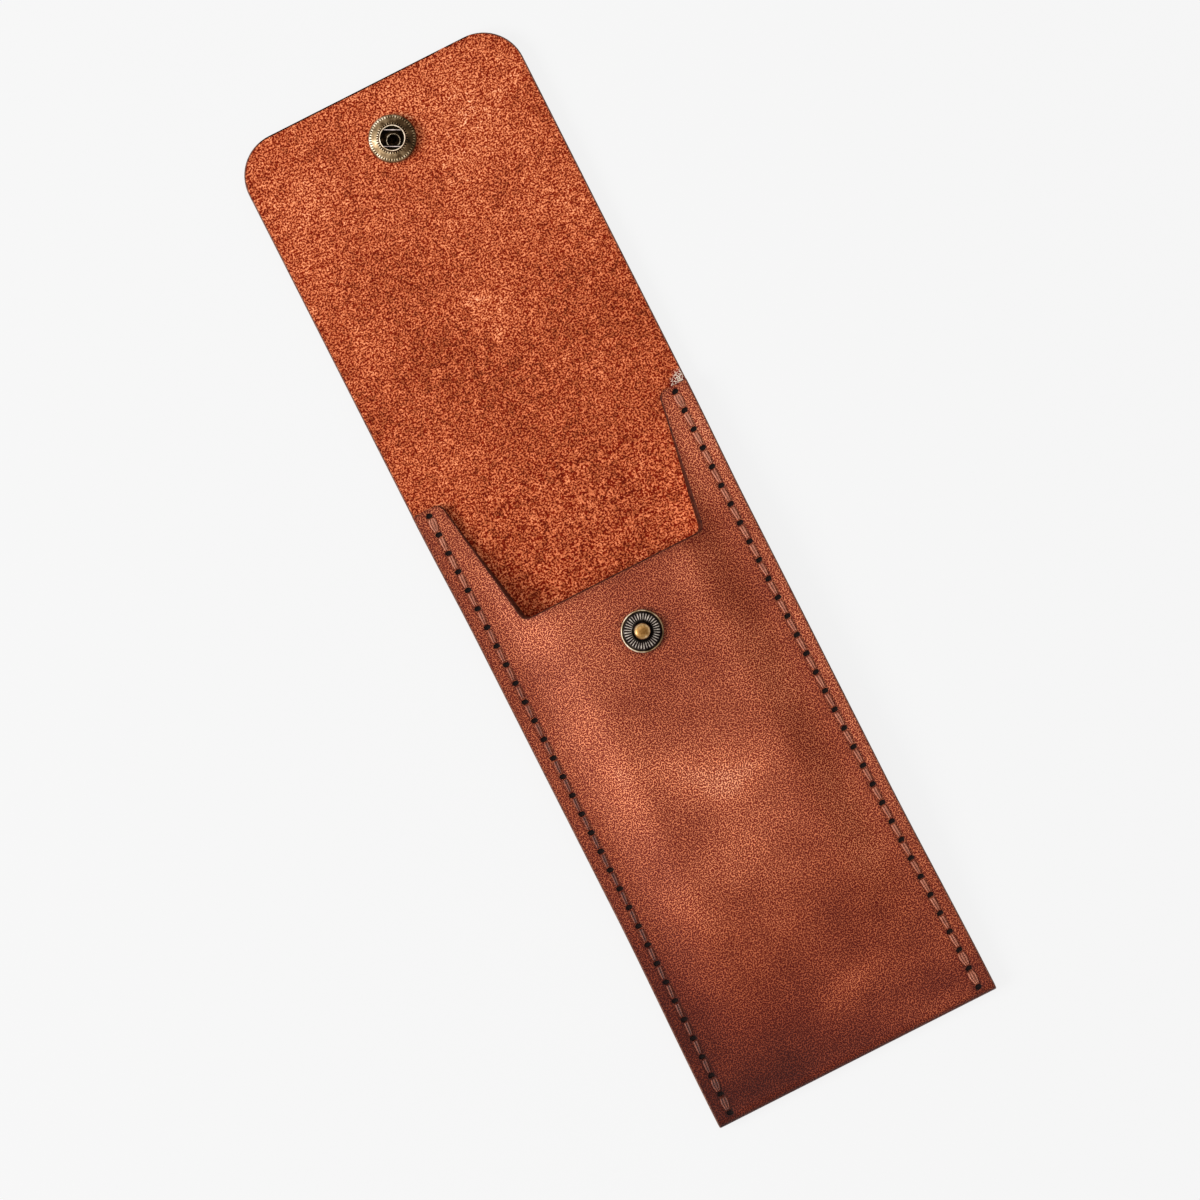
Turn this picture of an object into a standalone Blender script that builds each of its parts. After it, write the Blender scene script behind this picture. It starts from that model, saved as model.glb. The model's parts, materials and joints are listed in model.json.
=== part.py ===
"""Leather pen case: one strip of leather turned up into a stitched pocket, with a snap flap.

It lies on its back, open, as it does on a desk. X is across, +Y runs towards the flap's tip and +Z is up.
The origin is on the desk, under the middle of the open case. Lengths are in metres and angles in degrees.
"""

import math

import bmesh
import bpy
from mathutils import Vector

# The leather strip
LEATHER_THICKNESS = 0.0020
CASE_WIDTH = 0.0736
SNAP_SPACING = 0.1322        # stud to socket, along the open case
STUD_TO_BOTTOM = 0.1150
SOCKET_TO_TIP = 0.0141
FLAP_CORNER_RADIUS = 0.0105

# The mouth, cut out of the front panel between two ears
STUD_TO_MOUTH = 0.0150
EAR_HEIGHT = 0.0341
EAR_BASE_WIDTH = 0.0125      # where a side cut would meet the mouth's edge
EAR_TOP_WIDTH = 0.0076
MOUTH_CORNER_RADIUS = 0.0020
EAR_CORNER_RADIUS = 0.0022

# How the pocket stands open over its pens
PEN_SPACE = 0.0090
PLATEAU_WIDTH = 0.0340
SEAM_BAND_WIDTH = 0.0066
SEAM_LIFT = 0.0045           # of the seams above the desk, at mid pocket
BOTTOM_TAPER = 0.0560
DRAW_IN = 0.00045            # each edge moves in where the pocket bulges
CREASE_SPREAD = 0.0004       # and out at the bottom crease
GLUE_LINE = 0.0003

# The two saddle stitched seams
STITCH_PITCH = 0.0050
SEAM_INSET = 0.0038
FIRST_HOLE_INSET = 0.0016    # from the ear's top edge
LAST_HOLE_HEIGHT = 0.0025    # above the bottom crease
HOLE_CLEARANCE = 0.0001
THREAD_DIAMETER = 0.0006
THREAD_GAP = 0.00015         # thread to thread, and thread to leather

# The fold between back and flap: strips that each turn by the same angle
FOLD_STRIPS = 2
FOLD_GAP = 0.0003

# The snap fastener
SEAT_GAP = 0.0003            # between pieces that rest on each other
SNAP_GAP = 0.0003            # between stud rim and socket when shut
KNOB_CLEARANCE = 0.0002      # between the stud's knob and the rolled tube when shut
CAP_DIAMETER = 0.0125
CAP_HEIGHT = 0.0019
CAP_EDGE = 0.0003
TUBE_DIAMETER = 0.0032
TUBE_BORE = 0.0020
TUBE_FLARE = 0.0006
FLARE_HEIGHT = 0.00035
FLARE_GAP = 0.00015
TUBE_CLEARANCE = 0.0003
SOCKET_DIAMETER = 0.0116
SOCKET_HEIGHT = 0.0030
SOCKET_HOLE = 0.0056
SOCKET_BEAD = 0.0066
SOCKET_FLOOR = 0.0005
SOCKET_WALL = 0.0004
SPRING_WIRE = 0.0006
SPRING_LEGS = 0.0040         # between the two straight legs
SPRING_GAP = 0.00015
SPRING_TURN = -27.0          # of the legs from the case's width, as this snap was set
STUD_DIAMETER = 0.0104
STUD_RIM_HEIGHT = 0.0010
STUD_RIM_WIDTH = 0.0007
STUD_WALL = 0.00045
KNOB_DIAMETER = 0.0040
KNOB_NECK = 0.0032
KNOB_CHAMFER = 0.0002
RIVET_FLANGE = 0.0090
RIVET_THICKNESS = 0.0006
RIVET_TUBE = 0.0018
RIVET_BORE = 0.0010

# Facets
SLOPE_COLUMNS = 5
CREASE_STEPS = 8
CORNER_STEPS = 5
HOLE_SIDES = 8
TURNED_SIDES = 28
SPRING_STEPS = 8
OVERRUN = 0.0030             # of a cutter past what it cuts
SMOOTH_ANGLE = 30.0          # sharper edges than this stay crisp
MERGE_DISTANCE = 0.000001

# Looks: colour, roughness and metallic value
GRAIN_LOOK = ((0.356, 0.076, 0.041), 0.50, 0.0)
FLESH_LOOK = ((0.497, 0.102, 0.038), 0.90, 0.0)
THREAD_LOOK = ((0.330, 0.150, 0.080), 0.60, 0.0)
BRASS_LOOK = ((0.310, 0.230, 0.120), 0.35, 1.0)
STEEL_LOOK = ((0.550, 0.520, 0.480), 0.30, 1.0)

# Places that follow from the sizes
LENGTH = SOCKET_TO_TIP + SNAP_SPACING + STUD_TO_BOTTOM
BOTTOM_Y = -LENGTH / 2
TIP_Y = LENGTH / 2
STUD_Y = BOTTOM_Y + STUD_TO_BOTTOM
SOCKET_Y = STUD_Y + SNAP_SPACING
MOUTH_Y = STUD_Y + STUD_TO_MOUTH
EAR_TOP_Y = MOUTH_Y + EAR_HEIGHT
HALF_WIDTH = CASE_WIDTH / 2
SEAM_X = HALF_WIDTH - SEAM_INSET
BAND_X = HALF_WIDTH - SEAM_BAND_WIDTH
FLAP_LEVEL = CAP_HEIGHT + SEAT_GAP      # the open flap rests on its cap
FLAP_INNER = FLAP_LEVEL + LEATHER_THICKNESS
CREASE_LIFT = THREAD_DIAMETER + 2 * THREAD_GAP
CREASE_RADIUS = LEATHER_THICKNESS + GLUE_LINE / 2
CREASE_Y = BOTTOM_Y + CREASE_RADIUS
TAPER_END_Y = CREASE_Y + BOTTOM_TAPER

# The holes share out the seam evenly, an even number of stitches long
LAST_HOLE_Y = BOTTOM_Y + LAST_HOLE_HEIGHT
SEAM_LENGTH = EAR_TOP_Y - FIRST_HOLE_INSET - LAST_HOLE_Y
STITCHES = 2 * round(SEAM_LENGTH / STITCH_PITCH / 2)
STITCH_STEP = SEAM_LENGTH / STITCHES
BACK_START_Y = LAST_HOLE_Y + STITCH_STEP / 2
THREAD_SHIFT = (THREAD_DIAMETER + THREAD_GAP) / 2
HOLE_DIAMETER = 2 * (THREAD_SHIFT + THREAD_DIAMETER / 2 + HOLE_CLEARANCE) / math.cos(math.pi / HOLE_SIDES)


def ramp(value, start, end):
    """0 before start, 1 after end, and smooth between them."""
    share = min(max((value - start) / (end - start), 0.0), 1.0)
    return share * share * (3 - 2 * share)


# The shape of the pocket, as heights of its outer faces above the desk

def middle_underside(y):
    """The back's underside along the centre line: on the desk, then up to the flap's level."""
    foot = CREASE_LIFT * (1 - ramp(y, CREASE_Y, CREASE_Y + BOTTOM_TAPER / 2))
    return foot + FLAP_LEVEL * ramp(y, MOUTH_Y - STUD_TO_MOUTH / 3, EAR_TOP_Y)


def seam_underside(y):
    """The back's underside along a seam, which the pens lift off the desk."""
    rise = (SEAM_LIFT - CREASE_LIFT) * ramp(y, CREASE_Y, TAPER_END_Y)
    return CREASE_LIFT + rise - (SEAM_LIFT - FLAP_LEVEL) * ramp(y, STUD_Y, EAR_TOP_Y)


def pocket_gap(y):
    """Clear height between the panels along the centre line."""
    opened = ramp(y, CREASE_Y, TAPER_END_Y) * (1 - ramp(y, MOUTH_Y, EAR_TOP_Y))
    return GLUE_LINE + PEN_SPACE * opened


def side_share(x):
    """0 over the pens and 1 at the seams."""
    return ramp(abs(x), PLATEAU_WIDTH / 2, BAND_X)


def back_underside(x, y):
    middle = middle_underside(y)
    return middle + (seam_underside(y) - middle) * side_share(x)


def front_top(x, y):
    middle = middle_underside(y) + pocket_gap(y) + 2 * LEATHER_THICKNESS
    seam = seam_underside(y) + GLUE_LINE + 2 * LEATHER_THICKNESS
    return middle + (seam - middle) * side_share(x)


def across(x, y):
    """x after the bulge has drawn the edges in and the crease has spread them."""
    drawn = DRAW_IN * ramp(y, CREASE_Y, TAPER_END_Y) * (1 - ramp(y, MOUTH_Y, EAR_TOP_Y))
    spread = CREASE_SPREAD * (1 - ramp(y, CREASE_Y, TAPER_END_Y))
    return x * (HALF_WIDTH - drawn + spread) / HALF_WIDTH


# How the snap stacks up, and the fold that lands the socket on the stud
FRONT_AT_STUD = front_top(0, STUD_Y)
STUD_SEAT = FRONT_AT_STUD + SEAT_GAP
SOCKET_SEAT = FLAP_INNER + SEAT_GAP
SOCKET_ROOF = SOCKET_HEIGHT - SOCKET_WALL * 3 / 2
SPRING_LEVEL = SOCKET_ROOF - SPRING_GAP - SPRING_WIRE / 2
FLARE_TOP = SOCKET_FLOOR + FLARE_GAP + FLARE_HEIGHT
SHUT_STACK = STUD_RIM_HEIGHT + SNAP_GAP + SOCKET_HEIGHT
KNOB_TOP = SHUT_STACK - FLARE_TOP - KNOB_CLEARANCE
KNOB_GRIP = SHUT_STACK - SPRING_LEVEL
SHUT_INNER = STUD_SEAT + SHUT_STACK + SEAT_GAP
HINGE_ANGLE = math.pi / (FOLD_STRIPS + 1)
STRIP_PITCH = (SHUT_INNER - FLAP_INNER) * math.tan(HINGE_ANGLE / 2)
FOLD_START_Y = (STUD_Y + SOCKET_Y - FOLD_STRIPS * STRIP_PITCH) / 2
FOLD_END_Y = FOLD_START_Y + FOLD_STRIPS * STRIP_PITCH


def clear_scene():
    for obj in list(bpy.data.objects):
        bpy.data.objects.remove(obj)


def make_material(name, look):
    colour, roughness, metallic = look
    material = bpy.data.materials.new(name)
    material.use_nodes = True
    shader = material.node_tree.nodes["Principled BSDF"]
    shader.inputs["Base Color"].default_value = (*colour, 1.0)
    shader.inputs["Roughness"].default_value = roughness
    shader.inputs["Metallic"].default_value = metallic
    return material


def add_object(name, bm, look, parent=None):
    """Links a finished bmesh as a named object with a material of its own."""
    bmesh.ops.remove_doubles(bm, verts=bm.verts, dist=MERGE_DISTANCE)
    bmesh.ops.recalc_face_normals(bm, faces=bm.faces)
    mesh = bpy.data.meshes.new(name)
    bm.to_mesh(mesh)
    bm.free()
    obj = bpy.data.objects.new(name, mesh)
    bpy.context.scene.collection.objects.link(obj)
    obj.parent = parent
    if look:
        mesh.materials.append(make_material(name, look))
        mesh.shade_smooth()
        mesh.set_sharp_from_angle(angle=math.radians(SMOOTH_ANGLE))
    return obj


def add_cutter(name, bm, parent=None):
    """A helper that is no piece of the case."""
    cutter = add_object(name, bm, None, parent)
    cutter.hide_render = True
    cutter.display_type = "WIRE"
    return cutter


def cut(obj, cutter):
    modifier = obj.modifiers.new("Cut " + cutter.name, "BOOLEAN")
    modifier.operation = "DIFFERENCE"
    modifier.object = cutter


def round_tube(name, points, diameter, look, parent=None):
    """A closed wire or thread through points."""
    curve = bpy.data.curves.new(name, "CURVE")
    curve.dimensions = "3D"
    curve.bevel_depth = diameter / 2
    curve.bevel_resolution = 1
    curve.use_fill_caps = True
    spline = curve.splines.new("POLY")
    spline.points.add(len(points) - 1)
    for target, point in zip(spline.points, points):
        target.co = (*point, 1)
    curve.materials.append(make_material(name, look))
    tube = bpy.data.objects.new(name, curve)
    tube.parent = parent
    bpy.context.scene.collection.objects.link(tube)
    return tube


def rounded_outline(corners):
    """Points of a closed outline whose corners are (x, y, radius)."""
    points = []
    for i, (x, y, radius) in enumerate(corners):
        corner = Vector((x, y))
        if not radius:
            points.append(corner)
            continue
        before = (Vector(corners[i - 1][:2]) - corner).normalized()
        after = (Vector(corners[(i + 1) % len(corners)][:2]) - corner).normalized()
        half = before.angle(after) / 2
        centre = corner + (before + after).normalized() * (radius / math.sin(half))
        reach = radius / math.tan(half)
        start = corner + before * reach - centre
        end = corner + after * reach - centre
        for step in range(CORNER_STEPS + 1):
            points.append(centre + start.slerp(end, step / CORNER_STEPS).normalized() * radius)
    return points


def prism(points, low, high):
    """The outline as a closed solid between two heights."""
    bm = bmesh.new()
    face = bm.faces.new([bm.verts.new((p[0], p[1], low)) for p in points])
    grown = bmesh.ops.extrude_face_region(bm, geom=[face])
    top = [v for v in grown["geom"] if isinstance(v, bmesh.types.BMVert)]
    bmesh.ops.translate(bm, verts=top, vec=(0, 0, high - low))
    return bm


def turned(profile):
    """A closed (radius, height) profile spun round the vertical."""
    bm = bmesh.new()
    ring = [bm.verts.new((radius, 0, height)) for radius, height in profile]
    edges = [bm.edges.new((ring[i - 1], ring[i])) for i in range(len(ring))
             if profile[i - 1][0] or profile[i][0]]
    bmesh.ops.spin(bm, geom=ring + edges, cent=(0, 0, 0), axis=(0, 0, 1),
                   angle=math.tau, steps=TURNED_SIDES, use_merge=True)
    return bm


def round_pin(diameter, sides, height):
    bm = bmesh.new()
    bmesh.ops.create_cone(bm, cap_ends=True, segments=sides, radius1=diameter / 2,
                          radius2=diameter / 2, depth=2 * height)
    return bm


def sheet_columns():
    """x of the columns of a panel's mesh: none over the flat middle, closer together on the slopes."""
    flat = PLATEAU_WIDTH / 2
    half = [flat + (BAND_X - flat) * i / SLOPE_COLUMNS for i in range(SLOPE_COLUMNS + 1)]
    half.append(HALF_WIDTH)
    return [-x for x in reversed(half)] + half


def sheet_rows(low, high):
    """y of the rows of a panel's mesh, halfway between stitch holes."""
    rows = [low]
    for i in range(STITCHES + 1):
        y = LAST_HOLE_Y + (i + 1 / 2) * STITCH_STEP
        if low + STITCH_STEP / 4 < y < high - STITCH_STEP / 4:
            rows.append(y)
    rows.append(high)
    return rows


def sheet(name, lines, side, cutters):
    """A leather panel through lines of points, thickened to one side and then cut."""
    bm = bmesh.new()
    grid = [[bm.verts.new(point) for point in line] for line in lines]
    for lower, upper in zip(grid, grid[1:]):
        for i in range(len(lower) - 1):
            bm.faces.new((lower[i], lower[i + 1], upper[i + 1], upper[i]))
    panel = add_object(name, bm, GRAIN_LOOK)
    solidify = panel.modifiers.new("Leather", "SOLIDIFY")
    solidify.thickness = LEATHER_THICKNESS
    solidify.offset = side
    solidify.use_even_offset = True
    for cutter in cutters:
        cut(panel, cutter)


def seam_hole_cutter(name, side):
    """The stitch holes of one seam, as upright pins."""
    seam = bmesh.new()
    top = SEAM_LIFT + 2 * LEATHER_THICKNESS + GLUE_LINE + OVERRUN
    for i in range(STITCHES + 1):
        y = LAST_HOLE_Y + i * STITCH_STEP
        made = bmesh.ops.create_cone(seam, cap_ends=True, segments=HOLE_SIDES, radius1=HOLE_DIAMETER / 2,
                                     radius2=HOLE_DIAMETER / 2, depth=top + OVERRUN)
        place = (across(side * SEAM_X, y), y, (top - OVERRUN) / 2)
        bmesh.ops.translate(seam, verts=made["verts"], vec=place)
    return add_cutter(name, seam)


def mouth_cutter():
    """Everything above the ears and between them."""
    wide = HALF_WIDTH + OVERRUN
    right = [
        (HALF_WIDTH - EAR_BASE_WIDTH, MOUTH_Y, MOUTH_CORNER_RADIUS),
        (HALF_WIDTH - EAR_TOP_WIDTH, EAR_TOP_Y, EAR_CORNER_RADIUS),
        (wide, EAR_TOP_Y, 0),
        (wide, EAR_TOP_Y + OVERRUN, 0),
    ]
    left = [(-x, y, radius) for x, y, radius in reversed(right)]
    return add_cutter("mouth_cut", prism(rounded_outline(right + left), 0, FRONT_AT_STUD + OVERRUN))


def front_panel(cutters):
    """The front, from its ears down to the bottom crease and round under it, in one turned sheet."""
    lines = []
    for y in reversed(sheet_rows(CREASE_Y, EAR_TOP_Y + OVERRUN / 2)):
        lines.append([(across(x, y), y, front_top(x, y)) for x in sheet_columns()])
    for step in range(1, CREASE_STEPS + 1):
        angle = math.pi * step / CREASE_STEPS
        y = CREASE_Y - CREASE_RADIUS * math.sin(angle)
        z = CREASE_LIFT + CREASE_RADIUS * (1 + math.cos(angle))
        lines.append([(across(x, y), y, z) for x in sheet_columns()])
    y = BACK_START_Y - FOLD_GAP / 2
    lines.append([(across(x, y), y, back_underside(x, y)) for x in sheet_columns()])
    sheet("front_panel", lines, -1, cutters)


def back_panel(cutters):
    """The back, from just above the bottom crease up to the fold."""
    lines = []
    for y in sheet_rows(BACK_START_Y + FOLD_GAP / 2, FOLD_START_Y - FOLD_GAP / 2):
        lines.append([(across(x, y), y, back_underside(x, y)) for x in sheet_columns()])
    sheet("back_panel", lines, 1, cutters)


def fold_hinges():
    """Empties on the lines across the fold where the leather bends, each carried by the one before."""
    hinges = []
    for i in range(FOLD_STRIPS + 1):
        hinge = bpy.data.objects.new(f"fold_hinge_{i + 1}", None)
        hinge.empty_display_size = STRIP_PITCH
        bpy.context.scene.collection.objects.link(hinge)
        if hinges:
            hinge.parent = hinges[-1]
            hinge.location = (0, STRIP_PITCH, 0)
        else:
            hinge.location = (0, FOLD_START_Y, FLAP_INNER)
        hinges.append(hinge)
    return hinges


def fold_strips(hinges):
    """The leather of the fold, in strips from hinge line to hinge line."""
    low, high = FOLD_GAP / 2, STRIP_PITCH - FOLD_GAP / 2
    corners = [(-HALF_WIDTH, low), (HALF_WIDTH, low), (HALF_WIDTH, high), (-HALF_WIDTH, high)]
    for i in range(FOLD_STRIPS):
        add_object(f"fold_strip_{i + 1}", prism(corners, -LEATHER_THICKNESS, 0), FLESH_LOOK, hinges[i])


def flap_panel(hinge):
    tip = TIP_Y - FOLD_END_Y
    outline = rounded_outline([
        (-HALF_WIDTH, FOLD_GAP / 2, 0),
        (HALF_WIDTH, FOLD_GAP / 2, 0),
        (HALF_WIDTH, tip, FLAP_CORNER_RADIUS),
        (-HALF_WIDTH, tip, FLAP_CORNER_RADIUS),
    ])
    flap = add_object("flap_panel", prism(outline, -LEATHER_THICKNESS, 0), FLESH_LOOK, hinge)
    hole = round_pin(TUBE_DIAMETER + 2 * TUBE_CLEARANCE, TURNED_SIDES, LEATHER_THICKNESS + OVERRUN)
    cutter = add_cutter("tube_hole", hole, hinge)
    cutter.location = (0, SOCKET_Y - FOLD_END_Y, 0)
    cut(flap, cutter)


def seam_thread(name, side):
    """One saddle stitched thread: up the seam as one strand and back down beside it as the other."""
    lay = THREAD_DIAMETER / 2 + THREAD_GAP

    def ends(index, strand):
        y = LAST_HOLE_Y + index * STITCH_STEP
        x = across(side * SEAM_X, y) + strand * THREAD_SHIFT
        return Vector((x, y, seam_underside(y) - lay)), Vector((x, y, front_top(side * SEAM_X, y) + lay))

    points = []
    for index in range(STITCHES):
        under, over = ends(index, -1)
        points += [over, under] if index % 2 else [under, over]
    points += [ends(STITCHES, -1)[0], ends(STITCHES, 1)[1]]
    for index in range(STITCHES - 1, -1, -1):
        under, over = ends(index, 1)
        points += [over, under] if index % 2 else [under, over]
    round_tube(name, points, THREAD_DIAMETER, THREAD_LOOK)


def snap_stud():
    """The stud on the front: a rolled rim round a sunk floor, and the hollow knob that the socket grips."""
    rim, neck, knob = STUD_DIAMETER / 2, KNOB_NECK / 2, KNOB_DIAMETER / 2
    bore = neck - STUD_WALL
    sunk = rim - STUD_RIM_WIDTH
    profile = [
        (bore, 0),
        (rim - STUD_RIM_WIDTH / 2, 0),
        (rim, STUD_RIM_HEIGHT / 2),
        (rim - STUD_RIM_WIDTH / 2, STUD_RIM_HEIGHT),
        (sunk, (STUD_RIM_HEIGHT + STUD_WALL) / 2),
        (sunk, STUD_WALL),
        (neck, STUD_WALL),
        (neck, KNOB_GRIP),
        (knob, KNOB_GRIP + knob - neck),
        (knob, KNOB_TOP - KNOB_CHAMFER),
        (knob - KNOB_CHAMFER, KNOB_TOP),
        (0, KNOB_TOP),
        (0, KNOB_TOP - STUD_WALL),
        (bore, KNOB_TOP - STUD_WALL),
    ]
    add_object("snap_stud", turned(profile), BRASS_LOOK).location = (0, STUD_Y, STUD_SEAT)


def stud_rivet():
    """The rivet inside the pocket, whose tube goes up through the leather into the stud's knob."""
    low = FRONT_AT_STUD - LEATHER_THICKNESS - SEAT_GAP - RIVET_THICKNESS
    top = STUD_SEAT + KNOB_TOP - STUD_WALL - SEAT_GAP - low
    flange, tube, bore = RIVET_FLANGE / 2, RIVET_TUBE / 2, RIVET_BORE / 2
    profile = [
        (bore, top),
        (bore, RIVET_THICKNESS / 2),
        (0, RIVET_THICKNESS / 2),
        (0, 0),
        (flange - RIVET_THICKNESS / 2, 0),
        (flange, RIVET_THICKNESS / 2),
        (flange, RIVET_THICKNESS),
        (tube, RIVET_THICKNESS),
        (tube, top),
    ]
    add_object("stud_rivet", turned(profile), BRASS_LOOK).location = (0, STUD_Y, low)


def snap_socket(hinge):
    """The socket on the flap's inner face: a sloping shell with a bead round its hole."""
    rim, bead, hole = SOCKET_DIAMETER / 2, SOCKET_BEAD / 2, SOCKET_HOLE / 2
    throat = TUBE_DIAMETER / 2 + TUBE_CLEARANCE
    inner_rim = rim - 2 * SOCKET_WALL
    shoulder = SOCKET_HEIGHT * 3 / 5
    profile = [
        (throat, 0),
        (rim - SOCKET_WALL / 2, 0),
        (rim, SOCKET_WALL / 2),
        (rim, shoulder - SOCKET_WALL),
        (rim - SOCKET_WALL, shoulder),
        (bead, SOCKET_HEIGHT - SOCKET_WALL / 2),
        (bead - SOCKET_WALL / 2, SOCKET_HEIGHT),
        (hole, SOCKET_HEIGHT),
        (hole, SOCKET_ROOF),
        (bead - SOCKET_WALL / 2, SOCKET_ROOF),
        (inner_rim, shoulder - SOCKET_WALL),
        (inner_rim, SOCKET_FLOOR),
        (throat, SOCKET_FLOOR),
    ]
    socket = add_object("snap_socket", turned(profile), BRASS_LOOK, hinge)
    socket.location = (0, SOCKET_Y - FOLD_END_Y, SOCKET_SEAT - FLAP_INNER)


def socket_spring(hinge):
    """The bent wire in the socket: two straight legs that snap behind the stud's knob, joined by a bow."""
    reach = (SOCKET_BEAD - SOCKET_WALL) / 2
    bow = math.asin(SPRING_LEGS / 2 / reach)
    stops = [math.pi - bow]
    stops += [bow - 2 * bow * step / SPRING_STEPS for step in range(SPRING_STEPS + 1)]
    stops.append(bow - math.pi)
    points = [(reach * math.cos(angle), reach * math.sin(angle), 0) for angle in stops]
    spring = round_tube("socket_spring", points, SPRING_WIRE, STEEL_LOOK, hinge)
    spring.location = (0, SOCKET_Y - FOLD_END_Y, SOCKET_SEAT + SPRING_LEVEL - FLAP_INNER)
    spring.rotation_euler = (0, 0, math.radians(SPRING_TURN))


def snap_cap(hinge):
    """The domed cap on the flap's outer face, with the tube that is rolled over inside the socket."""
    cap, tube, bore = CAP_DIAMETER / 2, TUBE_DIAMETER / 2, TUBE_BORE / 2
    flare_top = SOCKET_SEAT + FLARE_TOP
    flare_low = flare_top - FLARE_HEIGHT
    dome_shares = [(0.30, 0.0), (0.60, 0.14), (0.84, 0.40), (1.0, 0.80)]
    profile = [(0, 0)]
    profile += [(cap * out_share, CAP_HEIGHT * up_share) for out_share, up_share in dome_shares]
    profile += [
        (cap - CAP_EDGE, CAP_HEIGHT),
        (tube, CAP_HEIGHT),
        (tube, flare_low),
        (tube + TUBE_FLARE, flare_low),
        (tube + TUBE_FLARE, flare_top),
        (bore, flare_top),
        (bore, CAP_HEIGHT / 2),
        (0, CAP_HEIGHT / 2),
    ]
    dome = add_object("snap_cap", turned(profile), BRASS_LOOK, hinge)
    dome.location = (0, SOCKET_Y - FOLD_END_Y, -FLAP_INNER)


def main():
    clear_scene()
    seams = [seam_hole_cutter("left_seam_holes", -1), seam_hole_cutter("right_seam_holes", 1)]
    rivet_hole = round_pin(RIVET_TUBE + 2 * TUBE_CLEARANCE, TURNED_SIDES, FRONT_AT_STUD + OVERRUN)
    rivet_cut = add_cutter("rivet_hole", rivet_hole)
    rivet_cut.location = (0, STUD_Y, 0)
    front_panel(seams + [mouth_cutter(), rivet_cut])
    back_panel(seams)
    seam_thread("left_seam_thread", -1)
    seam_thread("right_seam_thread", 1)
    snap_stud()
    stud_rivet()
    hinges = fold_hinges()
    fold_strips(hinges)
    flap_panel(hinges[-1])
    snap_socket(hinges[-1])
    socket_spring(hinges[-1])
    snap_cap(hinges[-1])


main()
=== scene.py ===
# Leather pen case lying open on its back: leather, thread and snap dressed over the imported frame.
# Lengths here are in millimetres until they go into a mesh; x across, y towards the flap's tip, z up.
import json
import math

import bmesh
import bpy
from mathutils import Matrix, Vector, kdtree, noise


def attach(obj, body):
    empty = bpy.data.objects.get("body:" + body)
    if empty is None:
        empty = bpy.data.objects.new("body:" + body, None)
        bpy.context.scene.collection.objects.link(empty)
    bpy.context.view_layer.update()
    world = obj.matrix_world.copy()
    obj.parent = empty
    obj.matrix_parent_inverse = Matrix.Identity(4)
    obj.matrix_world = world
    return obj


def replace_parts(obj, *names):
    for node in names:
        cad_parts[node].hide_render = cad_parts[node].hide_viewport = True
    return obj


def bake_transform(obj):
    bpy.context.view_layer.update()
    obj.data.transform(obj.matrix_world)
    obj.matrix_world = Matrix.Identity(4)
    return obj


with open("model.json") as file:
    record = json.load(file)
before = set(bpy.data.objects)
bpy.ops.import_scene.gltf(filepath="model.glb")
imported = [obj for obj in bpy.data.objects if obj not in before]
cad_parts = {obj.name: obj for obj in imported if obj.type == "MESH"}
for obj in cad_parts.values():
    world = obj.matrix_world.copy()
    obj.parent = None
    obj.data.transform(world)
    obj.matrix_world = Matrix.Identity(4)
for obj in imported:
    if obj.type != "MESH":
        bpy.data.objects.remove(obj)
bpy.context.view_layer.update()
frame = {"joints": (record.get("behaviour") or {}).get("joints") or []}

mm = 0.001
scene = bpy.context.scene

case = {
    "leather": 2.0, "halfWidth": 36.8,
    "bottomY": -130.65, "tipY": 130.65, "studY": -15.65, "socketY": 116.55,
    "mouthY": -0.65, "earTopY": 33.45, "earBase": 12.5, "earTop": 7.6,
    "mouthCorner": 2.0, "earCorner": 2.2, "flapCorner": 10.5,
    "fullness": 9.0, "plateau": 17.0, "band": 30.2, "seamX": 33.0, "seamLift": 4.5, "taper": 56.0,
    "drawIn": 0.45, "spread": 0.4, "glueLine": 0.3,
    "creaseLift": 0.9, "creaseRadius": 2.15, "flapLevel": 2.2, "risesBelowMouth": 5.0,
    "stitchPitch": 5.0, "stitches": 32, "lastHoleY": -128.15, "topHoleY": 31.85,
}
creaseY = case["bottomY"] + case["creaseRadius"]
taperEndY = creaseY + case["taper"]
hingeY = [joint["pos_m"][1] / mm for joint in frame["joints"]]
foldPitch = hingeY[1] - hingeY[0]


# how the case bulges over what it holds

give = {
    "swell": 0.26, "swellNoise": (19, 31, 0.7),  # slow waves: reach across, reach along, layer
    "dimple": 0.07, "dimpleNoise": (7, 9, 4.2),  # and small ones
    "calmRoundSnap": (6, 16), "calmAboveCrease": 14, "calmTowardsSeam": (20, 30),
    "pull": 0.17, "sag": 0.07, "pullWide": 1.1, "pullStarts": 1.5,
    "snapSeat": 0.16, "snapSeatAt": 5.2, "snapSeatWide": 1.3,
}


def ramp(value, start, end):
    share = min(max((value - start) / (end - start), 0.0), 1.0)
    return share * share * (3 - 2 * share)


def bell(offset, wide):
    return math.exp(-(offset / wide) ** 2)


def softNoise(x, y, wide, long, layer):
    return noise.noise(Vector((x / wide, y / long, layer)))


def fromStud(x, y):
    return math.hypot(x, y - case["studY"])


def middleUnderside(y):
    foot = case["creaseLift"] * (1 - ramp(y, creaseY, creaseY + case["taper"] / 2))
    return foot + case["flapLevel"] * ramp(y, case["mouthY"] - case["risesBelowMouth"], case["earTopY"])


def seamUnderside(y):
    rise = (case["seamLift"] - case["creaseLift"]) * ramp(y, creaseY, taperEndY)
    fall = (case["seamLift"] - case["flapLevel"]) * ramp(y, case["studY"], case["earTopY"])
    return case["creaseLift"] + rise - fall


def openShare(y):
    return ramp(y, creaseY, taperEndY) * (1 - ramp(y, case["mouthY"], case["earTopY"]))


def sideShare(x):
    return ramp(abs(x), case["plateau"], case["band"])


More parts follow.
